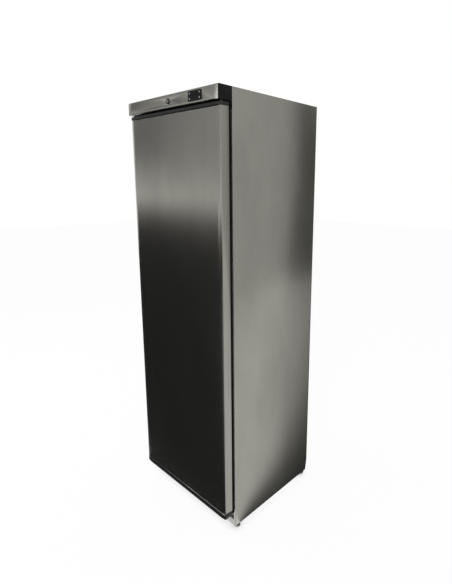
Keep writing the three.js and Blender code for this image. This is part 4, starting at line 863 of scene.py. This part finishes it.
def liquid_line():
    """Down from the condenser and into the top of the drier."""
    drier, _, drier_top = middle_of("filter_drier")
    low, high = inner_box("liquid_line", CONDENSER_TUBE)
    turn = drier_top.z + LINE_BEND
    corners = [(low.x, high.y, high.z + CONDENSER_TUBE), (low.x, high.y, turn)]
    corners += [(drier.x, drier.y, turn), (drier.x, drier.y, drier_top.z + SEAT_GAP)]
    refrigerant_line("liquid_line", corners, CONDENSER_TUBE, LINE_BEND / 2)


def capillary():
    """Out of the bottom of the drier, up, and forward into the cabinet."""
    drier, drier_foot, _ = middle_of("filter_drier")
    low, high = inner_box("capillary", CAPILLARY_TUBE)
    turn = drier_foot.z - LINE_BEND
    corners = [(drier.x, drier.y, drier_foot.z - SEAT_GAP), (drier.x, drier.y, turn)]
    corners += [(low.x, high.y, turn), (low.x, high.y, high.z), (low.x, low.y - CAPILLARY_TUBE, high.z)]
    refrigerant_line("capillary", corners, CAPILLARY_TUBE, 2 * CAPILLARY_TUBE)


# ---------------------------------------------------------------- gasket, hem and screws


def door_gasket():
    """The gasket's profile: a foot, two folds and a magnet head, mitred around the door."""
    low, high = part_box("door_gasket")
    depth = high.y - low.y
    half = [*GASKET_FOOT, *((inset, depth - y) for inset, y in GASKET_HEAD)]
    profile = [(GASKET_WIDTH - inset, y) for inset, y in half] + half[::-1]
    mesh = bmesh.new()
    loops = []
    for inset, y in profile:
        x, bottom, top = high.x - inset, low.z + inset, high.z - inset
        corners = ((-x, bottom), (x, bottom), (x, top), (-x, top))
        loops.append([mesh.verts.new((cx, low.y + y, cz)) for cx, cz in corners])
    for loop, following in zip(loops, loops[1:] + loops[:1]):
        for c in range(4):
            n = (c + 1) % 4
            mesh.faces.new((loop[c], loop[n], following[n], following[c]))
    stands_for(new_piece("gasket_profile", mesh), "door_gasket")


def door_hem():
    """The bead along the foot of the door's front, where its sheet is rolled back over the trim."""
    y = door_low.y + HEM_BEAD / 2
    z = door_low.z + HEM_BEAD
    ends = [(x, y, z, 0) for x in (door_low.x + HEM_BEAD, door_high.x - HEM_BEAD)]
    mesh = bmesh.new()
    tube(mesh, ends, HEM_BEAD)
    settle(new_piece("door_hem", mesh), "stainless", "door")


def screw(mesh, place, facing):
    """A pan-head screw with a cross recess, whose faces take the second slot: painted shade, dark in the
    recess. Its head stands on a face towards a direction.
    """
    start = len(mesh.verts)
    profile = [(SCREW_HEAD * share, height) for share, height in SCREW_PROFILE]
    lathe(mesh, profile, (0, 0, 0), sides=20)
    length, width = [SCREW_HEAD * share for share in CROSS_SIZE]
    arm = Matrix.Translation((0, 0, CROSS_LEVEL)) @ Matrix.Diagonal((length, width, CROSS_DEPTH, 1))
    for turn in (0, math.pi / 2):
        cross = bmesh.ops.create_cube(mesh, matrix=Matrix.Rotation(turn, 4, "Z") @ arm)
        for vertex in cross["verts"]:
            for face in vertex.link_faces:
                # the cross takes the second slot: the painted shade of the recess
                face.material_index = 1
    mesh.verts.ensure_lookup_table()
    aim = Vector((0, 0, 1)).rotation_difference(Vector(facing)).to_matrix().to_4x4()
    added = [mesh.verts[k] for k in range(start, len(mesh.verts))]
    bmesh.ops.transform(mesh, matrix=Matrix.Translation(place) @ aim, verts=added)


def screws(name, places, facing):
    """A set of screws on one face of the cabinet. Their recesses are painted dark with black plastic, as
    painted shade.
    """
    mesh = bmesh.new()
    for place in places:
        screw(mesh, place, facing)
    piece = settle(new_piece(name, mesh), "zinc_plated", "cabinet")
    # black plastic as the second slot paints shade into the cross recesses
    piece.data.materials.append(materials["black_plastic"])


def all_screws():
    """The screws that hold the back panel, the tray and the plinth."""
    back_low, back_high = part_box("back_panel")
    edge = back_high.x - BACK_SCREW_EDGE
    below, above = BACK_SCREW_ENDS
    rows = evenly(BACK_SCREW_ROWS, back_low.z + below, back_high.z - above)
    places = [(side * edge, back_high.y, z) for side in (-1, 1) for z in rows]
    places += [(x, back_high.y, back_high.z - LID_SCREW_DROP) for x in LID_SCREWS]
    screws("back_panel_screws", places, (0, 1, 0))
    tray_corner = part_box("compressor_tray")[1]
    tray_places = [(x, tray_corner.y, tray_corner.z - TRAY_SCREW_DROP) for x in TRAY_SCREWS]
    screws("tray_screws", tray_places, (0, 1, 0))
    middle, low, high = middle_of("plinth")
    edges = (low.x + PLINTH_SCREW_EDGE, high.x - PLINTH_SCREW_EDGE)
    screws("plinth_screws", [(x, low.y, middle.z) for x in edges], (0, -1, 0))


# ---------------------------------------------------------------- camera


def camera():
    """The photograph's camera."""
    turned = math.sin(CAMERA_YAW), math.cos(CAMERA_YAW)
    down = math.sin(CAMERA_PITCH), math.cos(CAMERA_PITCH)
    forward = Vector((-turned[0] * down[1], turned[1] * down[1], -down[0]))
    right = Vector((turned[1], turned[0], 0))
    up = right.cross(forward)
    roll = math.cos(CAMERA_ROLL), math.sin(CAMERA_ROLL)
    axes = (right * roll[0] + up * roll[1], up * roll[0] - right * roll[1], -forward)
    data = bpy.data.cameras.new("photograph")
    data.sensor_width = SENSOR
    data.lens = SENSOR * FOCAL_PIXELS / PICTURE[1]
    data.shift_x = (PICTURE[0] / 2 - PRINCIPAL_POINT[0]) / PICTURE[1]
    data.shift_y = (PRINCIPAL_POINT[1] - PICTURE[1] / 2) / PICTURE[1]
    data.clip_end = CLIP_END
    view = bpy.data.objects.new("photograph", data)
    bpy.context.scene.collection.objects.link(view)
    place = Vector(CAMERA_PLACE) + Vector((0, front_plane, cabinet_bottom))
    view.matrix_world = Matrix.Translation(place) @ Matrix(axes).transposed().to_4x4()
    bpy.context.scene.camera = view


# ---------------------------------------------------------------- stage and light


def add_math(tree, operation, first, second):
    """A Math node on two sockets or numbers."""
    node = tree.nodes.new("ShaderNodeMath")
    node.operation = operation
    for socket, value in zip(node.inputs, (first, second)):
        if isinstance(value, (int, float)):
            socket.default_value = value
        else:
            tree.links.new(value, socket)
    return node.outputs["Value"]


def own_place(tree):
    """X, Y and Z of a surface point in its object's own coordinates."""
    place = tree.nodes.new("ShaderNodeTexCoord")
    split = tree.nodes.new("ShaderNodeSeparateXYZ")
    tree.links.new(place.outputs["Object"], split.inputs["Vector"])
    return [split.outputs[axis] for axis in "XYZ"]


def glowing(name):
    """A material that only emits. Returns it with its tree and emission node."""
    material = bpy.data.materials.new(name)
    material.use_nodes = True
    tree = material.node_tree
    tree.nodes.clear()
    output = tree.nodes.new("ShaderNodeOutputMaterial")
    glow = tree.nodes.new("ShaderNodeEmission")
    tree.links.new(glow.outputs["Emission"], output.inputs["Surface"])
    return material, tree, glow


def plain_glow(name, level):
    """A material that emits one grey level."""
    material, _, glow = glowing(name)
    glow.inputs["Strength"].default_value = level
    return material


def stops(tree, factor, low, high, levels):
    """Grey levels at places between low and high, joined smoothly."""
    spread = tree.nodes.new("ShaderNodeMapRange")
    spread.inputs["From Min"].default_value = low
    spread.inputs["From Max"].default_value = high
    ramp = tree.nodes.new("ShaderNodeValToRGB")
    ramp.color_ramp.interpolation = "EASE"
    elements = ramp.color_ramp.elements
    for k, (place, level) in enumerate(levels):
        element = elements[k] if k < 2 else elements.new(1.0)
        element.position = (place - low) / (high - low)
        element.color = (*(level * tint for tint in CARD_TINT), 1)
    tree.links.new(factor, spread.inputs["Value"])
    tree.links.new(spread.outputs["Result"], ramp.inputs["Fac"])
    return ramp.outputs["Color"]


def flat_sheet(name, corners, material):
    """A flat sheet of the stage. Its corners are measured from its place."""
    data = bpy.data.meshes.new(name)
    data.from_pydata(corners, [], [range(len(corners))])
    data.materials.append(material)
    sheet = bpy.data.objects.new(name, data)
    bpy.context.scene.collection.objects.link(sheet)
    return sheet


def card(name, place, corners, material):
    """A flat card that only reflections see."""
    sheet = flat_sheet(name, corners, material)
    sheet.location = place
    for ray in ("camera", "diffuse", "shadow", "transmission", "volume_scatter"):
        setattr(sheet, "visible_" + ray, False)


def front_cards():
    """What the door mirrors: a dark floor, and a grey wall that is brightest at eye height."""
    start = door_low.y
    for name, level, places in FRONT_FLOORS:
        corners = [(across, -ahead, 0) for across, ahead in places]
        card(name, (0, start, CARD_RISE), corners, plain_glow(name, level))
    wall, tree, glow = glowing("front_wall")
    height = own_place(tree)[2]
    tree.links.new(stops(tree, height, 0, WALL_HEIGHT, FRONT_WALL_TONES), glow.inputs["Color"])
    wall_corners = [(-CARD_REACH, 0, 0), (CARD_REACH / 3, 0, 0)]
    wall_corners += [(CARD_REACH / 3, 0, WALL_HEIGHT), (-CARD_REACH, 0, WALL_HEIGHT)]
    card("front_wall", (0, start - FRONT_WALL, CARD_RISE), wall_corners, wall)
    for name, level, (left, right), (low, high) in WALL_PATCHES:
        corners = [(left, 0, low), (right, 0, low), (right, 0, high), (left, 0, high)]
        card(name, (0, start - FRONT_WALL + PATCH_GAP, CARD_RISE), corners, plain_glow(name, level))


def side_glow(name, tones):
    """A glow that changes with the slope, along the side per metre across."""
    material, tree, glow = glowing(name)
    across, along, _ = own_place(tree)
    slope = add_math(tree, "DIVIDE", along, across)
    tree.links.new(stops(tree, slope, *SIDE_SLOPES, tones), glow.inputs["Color"])
    return material, tree, glow


def side_cards():
    """What the right side mirrors: a pale floor with the object's shadow, and a wall."""
    side = cabinet_high.x
    mirrored = Vector((2 * side - CAMERA_PLACE[0], CAMERA_PLACE[1] + front_plane, CARD_RISE))
    near = side - mirrored.x
    far = near + SIDE_WALL
    rear = SIDE_SPREAD * far
    pale_floor, tree, glow = side_glow("side_floor", SIDE_FLOOR_TONES)
    across, along, _ = own_place(tree)
    from_side = add_math(tree, "SUBTRACT", across, near)
    from_front = add_math(tree, "SUBTRACT", along, front_plane - mirrored.y)
    shade = add_math(tree, "DIVIDE", from_side, from_front)
    tree.links.new(stops(tree, shade, 0, 1, SHADOW_TONES), glow.inputs["Strength"])
    corners = [(near, 0, 0), (far, 0, 0), (far, rear, 0), (near, rear, 0)]
    card("side_floor", mirrored, corners, pale_floor)
    wall = side_glow("side_wall", SIDE_WALL_TONES)[0]
    corners = [(far, 0, 0), (far, rear, 0), (far, rear, WALL_HEIGHT), (far, 0, WALL_HEIGHT)]
    card("side_wall", mirrored, corners, wall)


def seen_directly(tree):
    """1 for rays from the camera, and for rays that metal and glass send on."""
    path = tree.nodes.new("ShaderNodeLightPath")
    camera_ray, glossy_ray, glass_ray = [
        path.outputs[f"Is {kind} Ray"] for kind in ("Camera", "Glossy", "Transmission")
    ]
    sent_on = add_math(tree, "MAXIMUM", glossy_ray, glass_ray)
    return add_math(tree, "MAXIMUM", camera_ray, sent_on)


def floor():
    """A white floor that keeps a soft shadow of the object."""
    material, tree, glow = glowing("floor")
    shaded = tree.nodes.new("ShaderNodeBsdfDiffuse")
    shaded.inputs["Color"].default_value = (FLOOR_GREY, FLOOR_GREY, FLOOR_GREY, 1)
    mix = tree.nodes.new("ShaderNodeMixShader")
    contact = tree.nodes.new("ShaderNodeAmbientOcclusion")
    contact.inputs["Distance"].default_value = CONTACT_SHADOW
    glow_level = add_math(tree, "MULTIPLY", contact.outputs["AO"], FLOOR_GLOW)
    tree.links.new(add_math(tree, "MULTIPLY", seen_directly(tree), glow_level), mix.inputs["Fac"])
    tree.links.new(shaded.outputs["BSDF"], mix.inputs[1])
    tree.links.new(glow.outputs["Emission"], mix.inputs[2])
    tree.links.new(mix.outputs["Shader"], tree.nodes["Material Output"].inputs["Surface"])
    signs = ((-1, -1), (1, -1), (1, 1), (-1, 1))
    flat_sheet("floor", [(FLOOR_REACH * x, FLOOR_REACH * y, 0) for x, y in signs], material)


def world():
    """White where it is seen, plain soft light elsewhere."""
    surroundings = bpy.data.worlds.new("studio")
    surroundings.use_nodes = True
    bpy.context.scene.world = surroundings
    tree = surroundings.node_tree
    background = tree.nodes["Background"]
    background.inputs["Color"].default_value = (1, 1, 1, 1)
    level = tree.nodes.new("ShaderNodeMapRange")
    level.inputs["To Min"].default_value = SOFT_LIGHT
    level.inputs["To Max"].default_value = 1.0
    tree.links.new(seen_directly(tree), level.inputs["Value"])
    tree.links.new(level.outputs["Result"], background.inputs["Strength"])


def softbox(name, place, aim, size, power):
    """A large soft lamp that looks at a point."""
    data = bpy.data.lights.new(name, "AREA")
    data.shape = "SQUARE"
    data.size = size
    data.energy = power
    lamp = bpy.data.objects.new(name, data)
    lamp.visible_glossy = False
    bpy.context.scene.collection.objects.link(lamp)
    towards = Vector(aim) - Vector(place)
    lamp.matrix_world = Matrix.Translation(place) @ towards.to_track_quat("-Z", "Y").to_matrix().to_4x4()


# ---------------------------------------------------------------- the whole scene

for number in range(1, SHELF_COUNT + 1):
    evaporator_shelf(number)
condenser()
for side in ("left", "right"):
    levelling_foot(side)
    rear_roller(side)
lock_face()
for number in range(1, 5):
    key(number)
    compressor_mount(number)
compressor()
filter_drier()
discharge_line()
suction_line()
liquid_line()
capillary()
door_gasket()
door_hem()
all_screws()

refined("door_skin", flanges_to_trim)
for node in REFINED_NODES:
    refined(node)

for node, cad_object in nodes.items():
    cad_object.data.materials.clear()
    cad_object.data.materials.append(materials[slot_of_node[node]])

camera()
bpy.context.scene.view_settings.view_transform = "Standard"
front_cards()
side_cards()
floor()
world()
for lamp in LAMPS:
    softbox(*lamp)
